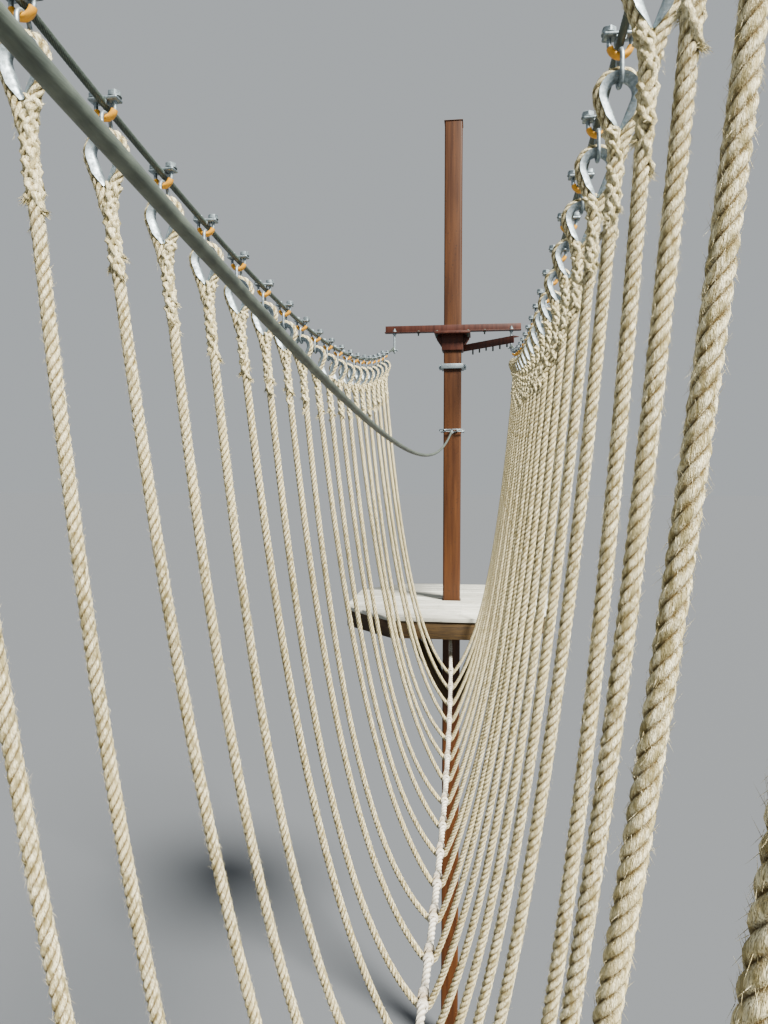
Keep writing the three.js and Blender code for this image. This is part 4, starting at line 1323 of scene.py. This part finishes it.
def sleeve(name, wall, low_z, high_z):
    """Four plates round the post, the side ones between the front and back ones."""
    inner, outer = POST_HALF + GAP, POST_HALF + GAP + wall
    return [
        block(name, (-outer, inner, low_z), (outer, outer, high_z), PLATE_EDGE),
        block(name, (-outer, -outer, low_z), (outer, -inner, high_z), PLATE_EDGE),
        block(name, (inner, -inner, low_z), (outer, inner, high_z), PLATE_EDGE),
        block(name, (-outer, -inner, low_z), (-inner, inner, high_z), PLATE_EDGE),
    ]


GUY_Z, GUY_HEIGHT, GUY_WALL = DECK_Z + 2.43, 0.05, 0.026
EAR_START, EAR_END, EAR_NEAR_Y, EAR_FAR_Y, EAR_INSET = 0.002, 0.026, 0.006, 0.055, 0.004
GUY_BOLT_HALF, GUY_BOLT_R, GUY_NUT_R, GUY_NUT_HIGH = 0.07, 0.008, 0.0145, 0.011
GUY_HEAD_Y, GUY_HEAD_HIGH = -0.065, 0.01

guy_parts = sleeve("guy_collar", GUY_WALL, GUY_Z, GUY_Z + GUY_HEIGHT)
face = POST_HALF + GUY_WALL
ear_low, ear_high = GUY_Z + EAR_INSET, GUY_Z + GUY_HEIGHT - EAR_INSET
bolt_z = GUY_Z + GUY_HEIGHT / 2
for side in (-1, 1):
    near_x, far_x = sorted((side * (face - EAR_START), side * (face + EAR_END)))
    for near_y, far_y in ((-EAR_FAR_Y, -EAR_NEAR_Y), (EAR_NEAR_Y, EAR_FAR_Y)):
        guy_parts.append(block("ear", (near_x, near_y, ear_low), (far_x, far_y, ear_high), PLATE_EDGE))
    x = (near_x + far_x) / 2
    guy_parts.append(rod("bolt", (x, -GUY_BOLT_HALF, bolt_z), (x, GUY_BOLT_HALF, bolt_z), GUY_BOLT_R))
    nut_place, head_place = (x, EAR_FAR_Y, bolt_z), (x, GUY_HEAD_Y, bolt_z)
    guy_parts.append(prism("nut", nut_place, GUY_NUT_R, GUY_NUT_HIGH, 6, 0.0012, 0.2, "Y"))
    guy_parts.append(prism("head", head_place, GUY_NUT_R, GUY_HEAD_HIGH, 6, 0.0012, 0.5, "Y"))
both_ends(joined("guy_collar", guy_parts), "guy_collar", "galvanised", "guy_collar_clamp")

# %% Head collar
HEAD_LOW, HEAD_HIGH, HEAD_WALL = DECK_Z + 2.62, DECK_Z + 2.78, 0.02
SEAT_HALF_X, SEAT_BACK, SEAT_FRONT, SEAT_THICK = 0.185, 0.125, 0.185, 0.02
SEAT_EDGE, WEB_EDGE = 0.002, 0.001
WEB_Y, WEB_HALF, WEB_INSET, WEB_RISE = 0.07, 0.005, 0.012, 0.04
WEB_CORNER_X, WEB_CORNER_Z, WEB_TAPER = 0.03, 0.08, 0.095

inner = POST_HALF + GAP
seat_high = HEAD_HIGH + SEAT_THICK
head_parts = sleeve("head_collar", HEAD_WALL, HEAD_LOW, HEAD_HIGH)
for low_y, high_y in ((-SEAT_BACK, -inner), (inner, SEAT_FRONT)):
    low, high = (-SEAT_HALF_X, low_y, HEAD_HIGH), (SEAT_HALF_X, high_y, seat_high)
    head_parts.append(block("seat", low, high, SEAT_EDGE))
for side in (-1, 1):
    near_x, far_x = sorted((side * inner, side * SEAT_HALF_X))
    low, high = (near_x, -inner, HEAD_HIGH), (far_x, inner, seat_high)
    head_parts.append(block("seat", low, high, SEAT_EDGE))
    for y in (-WEB_Y, WEB_Y):
        root, tip = POST_HALF + HEAD_WALL - 0.002, SEAT_HALF_X - WEB_INSET
        low_x, high_x = sorted((side * root, side * tip))
        low, high = (low_x, y - WEB_HALF, HEAD_LOW + WEB_RISE), (high_x, y + WEB_HALF, HEAD_HIGH)
        web = block("web", low, high, WEB_EDGE)
        out, under = SEAT_HALF_X - WEB_CORNER_X, HEAD_LOW + WEB_CORNER_Z
        push(web, lambda vertex: abs(vertex.co.x) > out and vertex.co.z < under, (0, 0, WEB_TAPER))
        head_parts.append(web)
both_ends(joined("head_collar", head_parts), "head_collar", "arm_paint", "head_collar_seat")

# %% Foot collar
FOOT_COLLAR_Z, FOOT_COLLAR_HEIGHT, FOOT_COLLAR_WALL = DECK_Z - 0.31, 0.06, 0.022
FOOT_BOLT_X, FOOT_BOLT_R, FOOT_BOLT_HIGH = 0.07, 0.012, 0.009
FOOT_LUG_Y = POST_HALF + FOOT_COLLAR_WALL + 0.04
FOOT_LUG_Z = foot_at(FOOT_START).z
LUG_HALF, LUG_EDGE, LUG_DROP, LUG_RIM = 0.006, 0.0015, 0.027, 0.016
SLOT_HALF, SLOT_RISE = 0.009, 0.011

lug_low, lug_high = FOOT_LUG_Z - LUG_DROP, FOOT_COLLAR_Z + FOOT_COLLAR_HEIGHT
root_y = POST_HALF + FOOT_COLLAR_WALL - WELD
rim_y = (FOOT_LUG_Y - SLOT_HALF - 0.001, FOOT_LUG_Y + SLOT_HALF + 0.001)
foot_parts = sleeve("foot_collar", FOOT_COLLAR_WALL, FOOT_COLLAR_Z, lug_high)
for (low_y, high_y), (low_z, high_z) in (
    ((root_y, FOOT_LUG_Y - SLOT_HALF), (lug_low, lug_high)),
    ((FOOT_LUG_Y + SLOT_HALF, FOOT_LUG_Y + SLOT_HALF + LUG_RIM), (lug_low, lug_high)),
    (rim_y, (lug_low, lug_low + LUG_RIM)),
    (rim_y, (FOOT_LUG_Z + SLOT_RISE, lug_high)),
):
    foot_parts.append(block("lug", (-LUG_HALF, low_y, low_z), (LUG_HALF, high_y, high_z), LUG_EDGE))
for x in (-FOOT_BOLT_X, FOOT_BOLT_X):
    place = (x, POST_HALF + FOOT_COLLAR_WALL, FOOT_COLLAR_Z + FOOT_COLLAR_HEIGHT / 2)
    foot_parts.append(prism("bolt", place, FOOT_BOLT_R, FOOT_BOLT_HIGH, 6, 0.001, x, "Y"))
both_ends(joined("foot_collar", foot_parts), "foot_collar", "galvanised", "foot_collar_clamp")

# %% [markdown]
# ## Arms
# Both arms are steel angle. The cross arm lies on the seat plate, with its upright leg against the
# post, and an eye bolt hangs through each end. The side arm reaches out to the right and carries a
# row of bolts on its underside.

# %% Arms
ARM_HALF, ARM_LOW, ARM_LEG, ARM_THICK, ARM_EDGE = 0.7, DECK_Z + 2.8003, 0.08, 0.008, 0.0015
SIDE_START, SIDE_END = Vector((0.05, 0.03, 0)), Vector((0.612, 0.57, 0))
SIDE_LOW, SIDE_LEG, SIDE_THICK, SIDE_EDGE = DECK_Z + 2.6, 0.07, 0.007, 0.0014

arm_start = (-ARM_HALF, inner, ARM_LOW)
arm_parts = [
    block("arm_web", arm_start, (ARM_HALF, inner + ARM_THICK, ARM_LOW + ARM_LEG), ARM_EDGE),
    block("arm_leg", arm_start, (ARM_HALF, inner + ARM_LEG, ARM_LOW + ARM_THICK), ARM_EDGE),
]
both_ends(joined("cross_arm", arm_parts), "cross_arm", "arm_paint", "cross_arm_angle")

# %% Bolts of the cross arm
ARM_NUT_R, ARM_NUT_HIGH, ARM_HEAD_HIGH = 0.014, 0.012, 0.009
ARM_STUD_R, ARM_STUD = 0.0075, 0.034
ARM_BOLT_XS, ARM_BOLT_Y = (-0.35, -0.16, 0.16, 0.33), 0.14


def arm_bolt(x, y, nut_z, stud_z, stud_r, stud_length, head_z, turn):
    """A bolt down through an arm: its nut, its stud and its head."""
    return [
        prism("nut", (x, y, nut_z), ARM_NUT_R, ARM_NUT_HIGH, 6, 0.0012, turn),
        prism("stud", (x, y, stud_z), stud_r, stud_length, 12, 0.0008),
        prism("head", (x, y, head_z), ARM_NUT_R, ARM_HEAD_HIGH, 6, 0.0012, 2 * turn),
    ]


arm_bolts = []
head_z = ARM_LOW + ARM_THICK
for x in ARM_BOLT_XS:
    under = ARM_LOW if abs(x) > SEAT_HALF_X else HEAD_HIGH
    nut_z, stud_z = under - ARM_NUT_HIGH, under - ARM_STUD
    arm_bolts += arm_bolt(x, ARM_BOLT_Y, nut_z, stud_z, ARM_STUD_R, ARM_STUD, head_z, x)

# %% Side arm
run = SIDE_END - SIDE_START
heading = math.atan2(run.y, run.x)
clear = (POST_HALF + HEAD_WALL + 2 * GAP) / math.cos(heading) - SIDE_START.length
side_high = SIDE_LOW + SIDE_LEG
leg_low = side_high - SIDE_THICK
side_end = (run.length, SIDE_THICK, side_high)
side_parts = [
    block("side_web", (clear, 0, SIDE_LOW), side_end, SIDE_EDGE),
    block("side_leg", (clear, -SIDE_LEG, leg_low), side_end, SIDE_EDGE),
]
side_arm = joined("side_arm", side_parts)
side_arm.rotation_euler.z = heading
side_arm.location = SIDE_START
both_ends(settle(side_arm), "side_arm", "arm_paint", "side_arm_angle")

# %% Bolts of the side arm
SIDE_BOLTS, SIDE_BOLT_START, SIDE_BOLT_PITCH, SIDE_BOLT_INSET = 6, 0.19, 0.093, 0.036
SIDE_STUD_R, SIDE_STUD, SIDE_STUD_PLAY, SIDE_NUT_DROP = 0.008, 0.1, 0.008, 0.014

side_bolts = []
across = Vector((math.sin(heading), -math.cos(heading), 0))
for i in range(SIDE_BOLTS):
    along = SIDE_BOLT_START + SIDE_BOLT_PITCH * i
    place = SIDE_START + run.normalized() * along + across * SIDE_BOLT_INSET
    nut_z, stud_z = leg_low - SIDE_NUT_DROP, leg_low - SIDE_STUD + SIDE_STUD_PLAY * (i % 3)
    side_bolts += arm_bolt(place.x, place.y, nut_z, stud_z, SIDE_STUD_R, SIDE_STUD, side_high, i)
both_ends(joined("arm_bolts", arm_bolts + side_bolts), None, "wire_rope", "arm_bolt_rows")

# %% Eye bolts
RING_R, RING_ROD = 0.0265, 0.0075
EYE_ROD_R, EYE_NUT_R, EYE_NUT_HIGH, EYE_NUT_EDGE = 0.0105, 0.021, 0.017, 0.002

for side, sign in SIDES.items():
    x = sign * CABLE_END_X
    centre = Vector((x, EYE_BOLT_Y, CABLE_END_Z))
    ring_top = (x, EYE_BOLT_Y, CABLE_END_Z + RING_R)
    rod_top = (x, EYE_BOLT_Y, ARM_LOW + ARM_THICK + 0.036)
    bolt_parts = [
        bar("ring", arc_points(centre, RING_R, 0, 345, 24, "YZ"), RING_ROD, cyclic=True),
        rod("rod", ring_top, rod_top, EYE_ROD_R),
    ]
    for z, turn in ((ARM_LOW + ARM_THICK + GAP, 0.4), (ARM_LOW - 0.018, 0.1)):
        nut = prism("nut", (x, EYE_BOLT_Y, z), EYE_NUT_R, EYE_NUT_HIGH, 6, EYE_NUT_EDGE, turn)
        bolt_parts.append(nut)
    both_ends(joined("eye_bolt", bolt_parts), f"{side}_eye_bolt", "galvanised", f"{side}_eye_bolt_forged")

# %% [markdown]
# ## Ends of the lines
# A bow shackle ties each cable's end to its eye bolt, and the foot line's end to the slotted lug.
# The wire rope itself turns back in a small eye round the shackle and goes into a pressed ferrule.
# All of these are round bar, bent along arcs.

# %% Shackles
SHACKLE_R, SHACKLE_HALF, SHACKLE_LENGTH = 0.0068, 0.019, 0.07
LEG_SHARE, BOW_SHARE = 0.45, 0.6
PIN_HEAD, PIN_END = 0.012, 0.014


def shackle(start, half=SHACKLE_HALF):
    """Bow shackle along Y whose pin bears in the ring or slot it hangs from."""
    x, y, z = start
    legs_y, bow_y = y + SHACKLE_LENGTH * LEG_SHARE, y + SHACKLE_LENGTH * BOW_SHARE
    points = [Vector((x - half, y, z)), Vector((x - half, legs_y, z))]
    points += arc_points((x, bow_y, z), half, 180, 0, 8, "XY")
    points += [Vector((x + half, legs_y, z)), Vector((x + half, y, z))]
    return [
        bar("bow", points, SHACKLE_R),
        rod("pin", (x - half - PIN_HEAD, y, z), (x + half + PIN_END, y, z), SHACKLE_R),
        prism("nut", (x + half + 0.006, y, z), 0.0115, 0.009, 6, 0.001, 0.3, "X"),
        prism("head", (x - half - 0.013, y, z), 0.0115, 0.006, 6, 0.001, 0.1, "X"),
    ]


pin_y = EYE_BOLT_Y + RING_R - RING_ROD - SHACKLE_R
shackles = []
for sign in SIDES.values():
    shackles += shackle((sign * CABLE_END_X, pin_y, CABLE_END_Z))
shackles += shackle((0, FOOT_LUG_Y + 0.0017, FOOT_LUG_Z), half=0.02)

# %% End eyes of the cables
LOOP_R, LOOP_ROD, LOOP_REACH = 0.022, 0.0072, 0.085
LOOP_START, LOOP_STOP = math.degrees(0.35), math.degrees(1.05) - 360
FERRULE_R, FERRULE_START, FERRULE_END = 0.0145, 0.066, 0.115

end_eyes = []
eye_y, eye_z = pin_y + 0.052, CABLE_END_Z - 0.003
for sign in SIDES.values():
    x = sign * CABLE_END_X
    loop = [Vector((x, eye_y + LOOP_REACH, eye_z - 0.012))]
    loop += arc_points((x, eye_y + LOOP_R, eye_z), LOOP_R, LOOP_START, LOOP_STOP, 12, "YZ")
    loop.append(Vector((x, eye_y + LOOP_REACH, eye_z - 0.004)))
    end_eyes.append(bar("end_eye", rounded(loop, 0.006), LOOP_ROD))
    start, end = (x, eye_y + FERRULE_START, eye_z - 0.006), (x, eye_y + FERRULE_END, eye_z - 0.017)
    end_eyes.append(rod("ferrule", start, end, FERRULE_R))
both_ends(joined("shackles", shackles), None, "galvanised", "shackles")
both_ends(joined("end_eyes", end_eyes), None, "wire_rope", "cable_end_eyes")

# %% [markdown]
# ## Chain slings
# The lifeline ends in a chain slung round the post. One link is a bar bent to a long loop. Its
# copies follow a rounded square round the post, each turned a quarter from the last, as the links
# of a chain lie. The lifeline hangs a little lower at one post than at the other, so the two slings
# are made one by one, both at the near post, and the far one is then mirrored over.

# %% A chain
CHAIN_ROD, CHAIN_HALF_WIDTH, CHAIN_PITCH = 0.006, 0.0148, 0.062
CHAIN_CLEARANCE, CHAIN_CORNER = 0.001, 0.02
QUARTER = math.pi / 2

straight = CHAIN_PITCH / 2 - CHAIN_HALF_WIDTH + CHAIN_ROD
link_loop = arc_points((0, 0, straight), CHAIN_HALF_WIDTH, 0, 180, 6)
link_loop += arc_points((0, 0, -straight), CHAIN_HALF_WIDTH, 180, 360, 6)
chain_link = bar("chain_link", link_loop, CHAIN_ROD, cyclic=True, sides=2)


def chain_along(route, spin):
    """Links laid along a route, every other one turned by a quarter."""
    parts, travelled, wanted = [], 0.0, CHAIN_PITCH / 2
    for a, b in zip(route, route[1:]):
        step = (b - a).length
        while wanted <= travelled + step:
            place = a.lerp(b, (wanted - travelled) / step)
            spun = Quaternion((0, 0, 1), spin + QUARTER * (len(parts) % 2))
            turn = (b - a).to_track_quat("Z", "Y") @ spun
            parts.append(copy_of(chain_link, place, turn.to_euler()))
            wanted += CHAIN_PITCH
        travelled += step
    return parts


def chain_ring(z):
    """A rounded square round the post, on which the links' centres lie."""
    reach = POST_HALF + CHAIN_ROD + CHAIN_HALF_WIDTH * math.sqrt(0.5) + CHAIN_CLEARANCE
    middle = reach - CHAIN_CORNER
    points = []
    for k, (sx, sy) in enumerate(((1, 1), (-1, 1), (-1, -1), (1, -1))):
        centre = (sx * middle, sy * middle, z)
        points += arc_points(centre, CHAIN_CORNER, 90 * k, 90 * k + 90, 4, "XY")
    return points + [points[0]]


# %% Chain slings
SLING_Y, SLING_LEG_START, SLING_LEG_END, SLING_DROP = 0.104, POST_HALF + 0.024, 0.295, 0.012
RING_SPIN, LEG_SPIN = math.pi / 4, 0.4


def line_point(end, y):
    """A place y from the near post, as high as the lifeline hangs that far from the given end's."""
    return Vector((0, y, lifeline_at(y if end == "near" else SPAN - y).z))


def for_end(end, label, parts):
    """Joins parts made at the near post. The far end's piece is then mirrored over."""
    name = f"{end}_{label}"
    piece = joined(name, parts)
    if end == "far":
        twin = far_twin(piece, name)
        bpy.data.objects.remove(piece)
        piece = twin
        piece.name = name
    return piece


for end in ("near", "far"):
    ring_z = line_point(end, SLING_Y).z
    leg = [Vector((0, SLING_LEG_START, ring_z - SLING_DROP)), line_point(end, SLING_LEG_END)]
    parts = chain_along(chain_ring(ring_z), RING_SPIN) + chain_along(leg, LEG_SPIN)
    sling = for_end(end, "chain_links", parts)
    dress(sling, "galvanised", f"{end}_chain_sling")
    print(sling.name, len(sling.data.polygons), "faces")
bpy.data.objects.remove(chain_link)

# %% Lifeline's end eyes
LINE_EYE_Y, LINE_EYE_R, LINE_EYE_ROD = 0.305, 0.021, 0.0058
LINE_EYE_OPEN, LINE_EYE_SHIFT = math.degrees(0.4), Vector((0, 0.004, 0))
LINE_TAIL_Y, LINE_FERRULE, LINE_FERRULE_R = 0.352, (0.338, 0.37), 0.0118

for end in ("near", "far"):
    middle = line_point(end, LINE_EYE_Y) - LINE_EYE_SHIFT
    loop = arc_points(middle, LINE_EYE_R, LINE_EYE_OPEN, 360 - LINE_EYE_OPEN, 16, "YZ")
    tail = [line_point(end, LINE_TAIL_Y)]
    start, stop = (line_point(end, y) for y in LINE_FERRULE)
    eye_parts = [
        bar("lifeline_eye", rounded(tail + loop + tail, 0.006), LINE_EYE_ROD),
        rod("ferrule", start, stop, LINE_FERRULE_R),
    ]
    eye = for_end(end, "lifeline_eye", eye_parts)
    dress(eye, "sheath")
    print(eye.name, len(eye.data.polygons), "faces")

# %% [markdown]
# ## Platforms
# Each platform is a square of boards with its corners cut off, on a rim and joists of timber, and
# four braces carry it from the post. The boards are laid as whole boards, and Bisect then saws the
# corners off, as a carpenter would.

# %% Deck boards
BOARD_THICK, BOARD_GAP, BOARD_EDGE, BOARD_DIP = 0.04, 0.01, 0.003, 0.0015
HALF_BOARD_Y, POST_HOLE_HALF = 0.1, 0.098
ROWS = 6


def saw(piece, place, away):
    """Cuts off what lies beyond a plane and closes the cut."""
    only(piece)
    bpy.ops.object.mode_set(mode="EDIT")
    bpy.ops.mesh.select_all(action="SELECT")
    bpy.ops.mesh.bisect(plane_co=place, plane_no=away, use_fill=True, clear_outer=True)
    bpy.ops.object.mode_set(mode="OBJECT")


board_low, board_high = DECK_Z - BOARD_THICK, DECK_Z
pitch = (DECK_HALF - HALF_BOARD_Y) / ROWS
boards = []
dice = random.Random(11)
for side in (-1, 1):
    for row in range(ROWS):
        start = HALF_BOARD_Y + row * pitch + BOARD_GAP
        low_y, high_y = sorted((side * start, side * (HALF_BOARD_Y + (row + 1) * pitch)))
        top = board_high - dice.uniform(0, BOARD_DIP)
        boards.append(block("board", (-DECK_HALF, low_y, board_low), (DECK_HALF, high_y, top), BOARD_EDGE))
    for direction in (-1, 1):
        low_x, high_x = sorted((direction * POST_HOLE_HALF, direction * DECK_HALF))
        low_y, high_y = sorted((side * BOARD_GAP / 2, side * HALF_BOARD_Y))
        boards.append(block("board", (low_x, low_y, board_low), (high_x, high_y, board_high), BOARD_EDGE))
deck_boards = joined("deck_boards", boards)
for sx in (-1, 1):
    for sy in (-1, 1):
        saw(deck_boards, (sx * DECK_HALF, sy * DECK_EDGE_HALF, 0), (sx, sy, 0))
both_ends(deck_boards, "deck", "deck_boards", "deck_planks")

# %% Deck screws
SCREW_NEAR_X, SCREW_FAR_X = 0.115, 0.99
SCREW_R, SCREW_HIGH, SCREW_SINK = 0.0045, 0.0022, 0.0016

screws = []
for side in (-1, 1):
    for row in range(ROWS):
        for share in (0.25, 0.75):
            y = side * (HALF_BOARD_Y + (row + share) * pitch + BOARD_GAP / 2)
            far_x = SCREW_FAR_X - max(0, abs(y) - DECK_EDGE_HALF)
            for x in (-SCREW_NEAR_X, SCREW_NEAR_X, -far_x, far_x):
                screws.append(prism("screw", (x, y, DECK_Z - SCREW_SINK), SCREW_R, SCREW_HIGH, 8, 0.0004))
both_ends(joined("screws", screws), None, "galvanised", "deck_screws")

# %% [markdown]
# ## Under the boards
# The rim's eight boards meet in mitres, sawn at half the octagon's angle. Two pairs of joists pass
# the post on both sides. The braces are square timbers that lean out from the post, and their tops
# are sawn level just below the frame.

# %% Rim and joists
FRAME_DEPTH, RIM_INSET, RIM_THICK, TIMBER_EDGE = 0.165, 0.015, 0.055, 0.003
JOIST_THICK, JOIST_RISE = 0.05, 0.02
MITRE, MITRE_GAP = math.pi / 8, 0.0008

frame_top = DECK_Z - BOARD_THICK - GAP
frame_low = frame_top - FRAME_DEPTH
far, near = DECK_HALF - RIM_INSET, DECK_EDGE_HALF - RIM_INSET * math.tan(MITRE)
rim_corners = [(-near, -far), (near, -far), (far, -near), (far, near)]
rim_corners += [(near, far), (-near, far), (-far, near), (-far, -near)]
timber = []
for (ax, ay), (bx, by) in zip(rim_corners, rim_corners[1:] + rim_corners[:1]):
    a, b = Vector((ax, ay, 0)), Vector((bx, by, 0))
    half = (b - a).length / 2
    board = block("rim", (-half, 0, frame_low), (half, RIM_THICK, frame_top), TIMBER_EDGE)
    for sign in (1, -1):
        saw(board, (sign * (half - MITRE_GAP), 0, 0), (sign * math.cos(MITRE), math.sin(MITRE), 0))
    board.rotation_euler.z = math.atan2(b.y - a.y, b.x - a.x)
    board.location = (a + b) / 2
    timber.append(settle(board))

joist_reach, joist_half = DECK_HALF - RIM_INSET - RIM_THICK, JOIST_THICK / 2
joist_low = (-joist_reach, -joist_half, frame_low + JOIST_RISE)
for sign in (-1, 1):
    offset = sign * (POST_HALF + GAP + joist_half)
    for turn, place in ((0, (0, offset, 0)), (math.pi / 2, (offset, 0, 0))):
        joist = block("joist", joist_low, (joist_reach, joist_half, frame_top), TIMBER_EDGE)
        joist.rotation_euler.z = turn
        joist.location = place
        timber.append(settle(joist))
both_ends(joined("deck_frame", timber), "deck_frame", "frame_timber", "deck_frame_timbers")

# %% Braces
BRACE_HALF, BRACE_EDGE, BRACE_SPARE = 0.038, 0.004, 0.06
BRACE_TOP, BRACE_RISE = 0.44, 0.04
BRACE_FOOT, BRACE_FOOT_Z = 0.054, DECK_Z - 1.06

for i, (sx, sy) in enumerate(((-1, 1), (1, 1), (1, -1), (-1, -1))):
    foot = Vector((sx * BRACE_FOOT, sy * BRACE_FOOT, BRACE_FOOT_Z))
    top = Vector((sx * BRACE_TOP, sy * BRACE_TOP, frame_low + BRACE_RISE))
    run = top - foot
    low = (-BRACE_SPARE, -BRACE_HALF, -BRACE_HALF)
    brace = block("brace", low, (run.length + BRACE_SPARE, BRACE_HALF, BRACE_HALF), BRACE_EDGE)
    brace.rotation_euler = run.to_track_quat("X", "Z").to_euler()
    brace.location = foot
    settle(brace)
    saw(brace, (0, 0, frame_low - GAP), (0, 0, 1))
    both_ends(brace, f"knee_brace_{i + 1}", "frame_timber", f"knee_brace_{i + 1}_timber")

# %% [markdown]
# ## Floor and light
# The object stands on a plain pale floor. A large soft sun from the upper right, behind the camera,
# lights the ropes as on the day of the photograph, and the pale surroundings fill the shade.

# %% Floor and light
FLOOR_SIZE, FLOOR_COLOUR = 400, "#525559"
BACKDROP_COLOUR, BACKDROP_STRENGTH = "#B7BCBF", 0.95
SUN_PLACE, SUN_TURN = (5, -5, 15), (math.radians(44), 0, math.radians(50))
SUN_COLOUR, SUN_ENERGY, SUN_ANGLE = "#FFFBF2", 20.5, math.radians(16)

bpy.ops.object.select_all(action="DESELECT")
bpy.ops.mesh.primitive_plane_add(size=FLOOR_SIZE, location=(0, MID_Y, 0))
floor = settle(bpy.context.object)
floor.name = "floor"
floor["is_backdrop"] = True
paper = bpy.data.materials.new("floor_pale_matt")
paper.use_nodes = True
matt = paper.node_tree.nodes["Principled BSDF"]
matt.inputs["Base Color"].default_value = linear(FLOOR_COLOUR)
matt.inputs["Roughness"].default_value = 0.95
matt.inputs["Specular IOR Level"].default_value = 0.1
floor.data.materials.append(paper)

world = bpy.data.worlds.new("studio")
bpy.context.scene.world = world
world.use_nodes = True
backdrop = world.node_tree.nodes["Background"]
backdrop.inputs["Color"].default_value = linear(BACKDROP_COLOUR)
backdrop.inputs["Strength"].default_value = BACKDROP_STRENGTH
bpy.ops.object.light_add(type="SUN", location=SUN_PLACE, rotation=SUN_TURN)
sun = bpy.context.object
sun.data.energy = SUN_ENERGY
sun.data.color = linear(SUN_COLOUR)[:3]
sun.data.angle = SUN_ANGLE
print("floor, backdrop and sun in place")

# %% Finish
low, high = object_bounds()
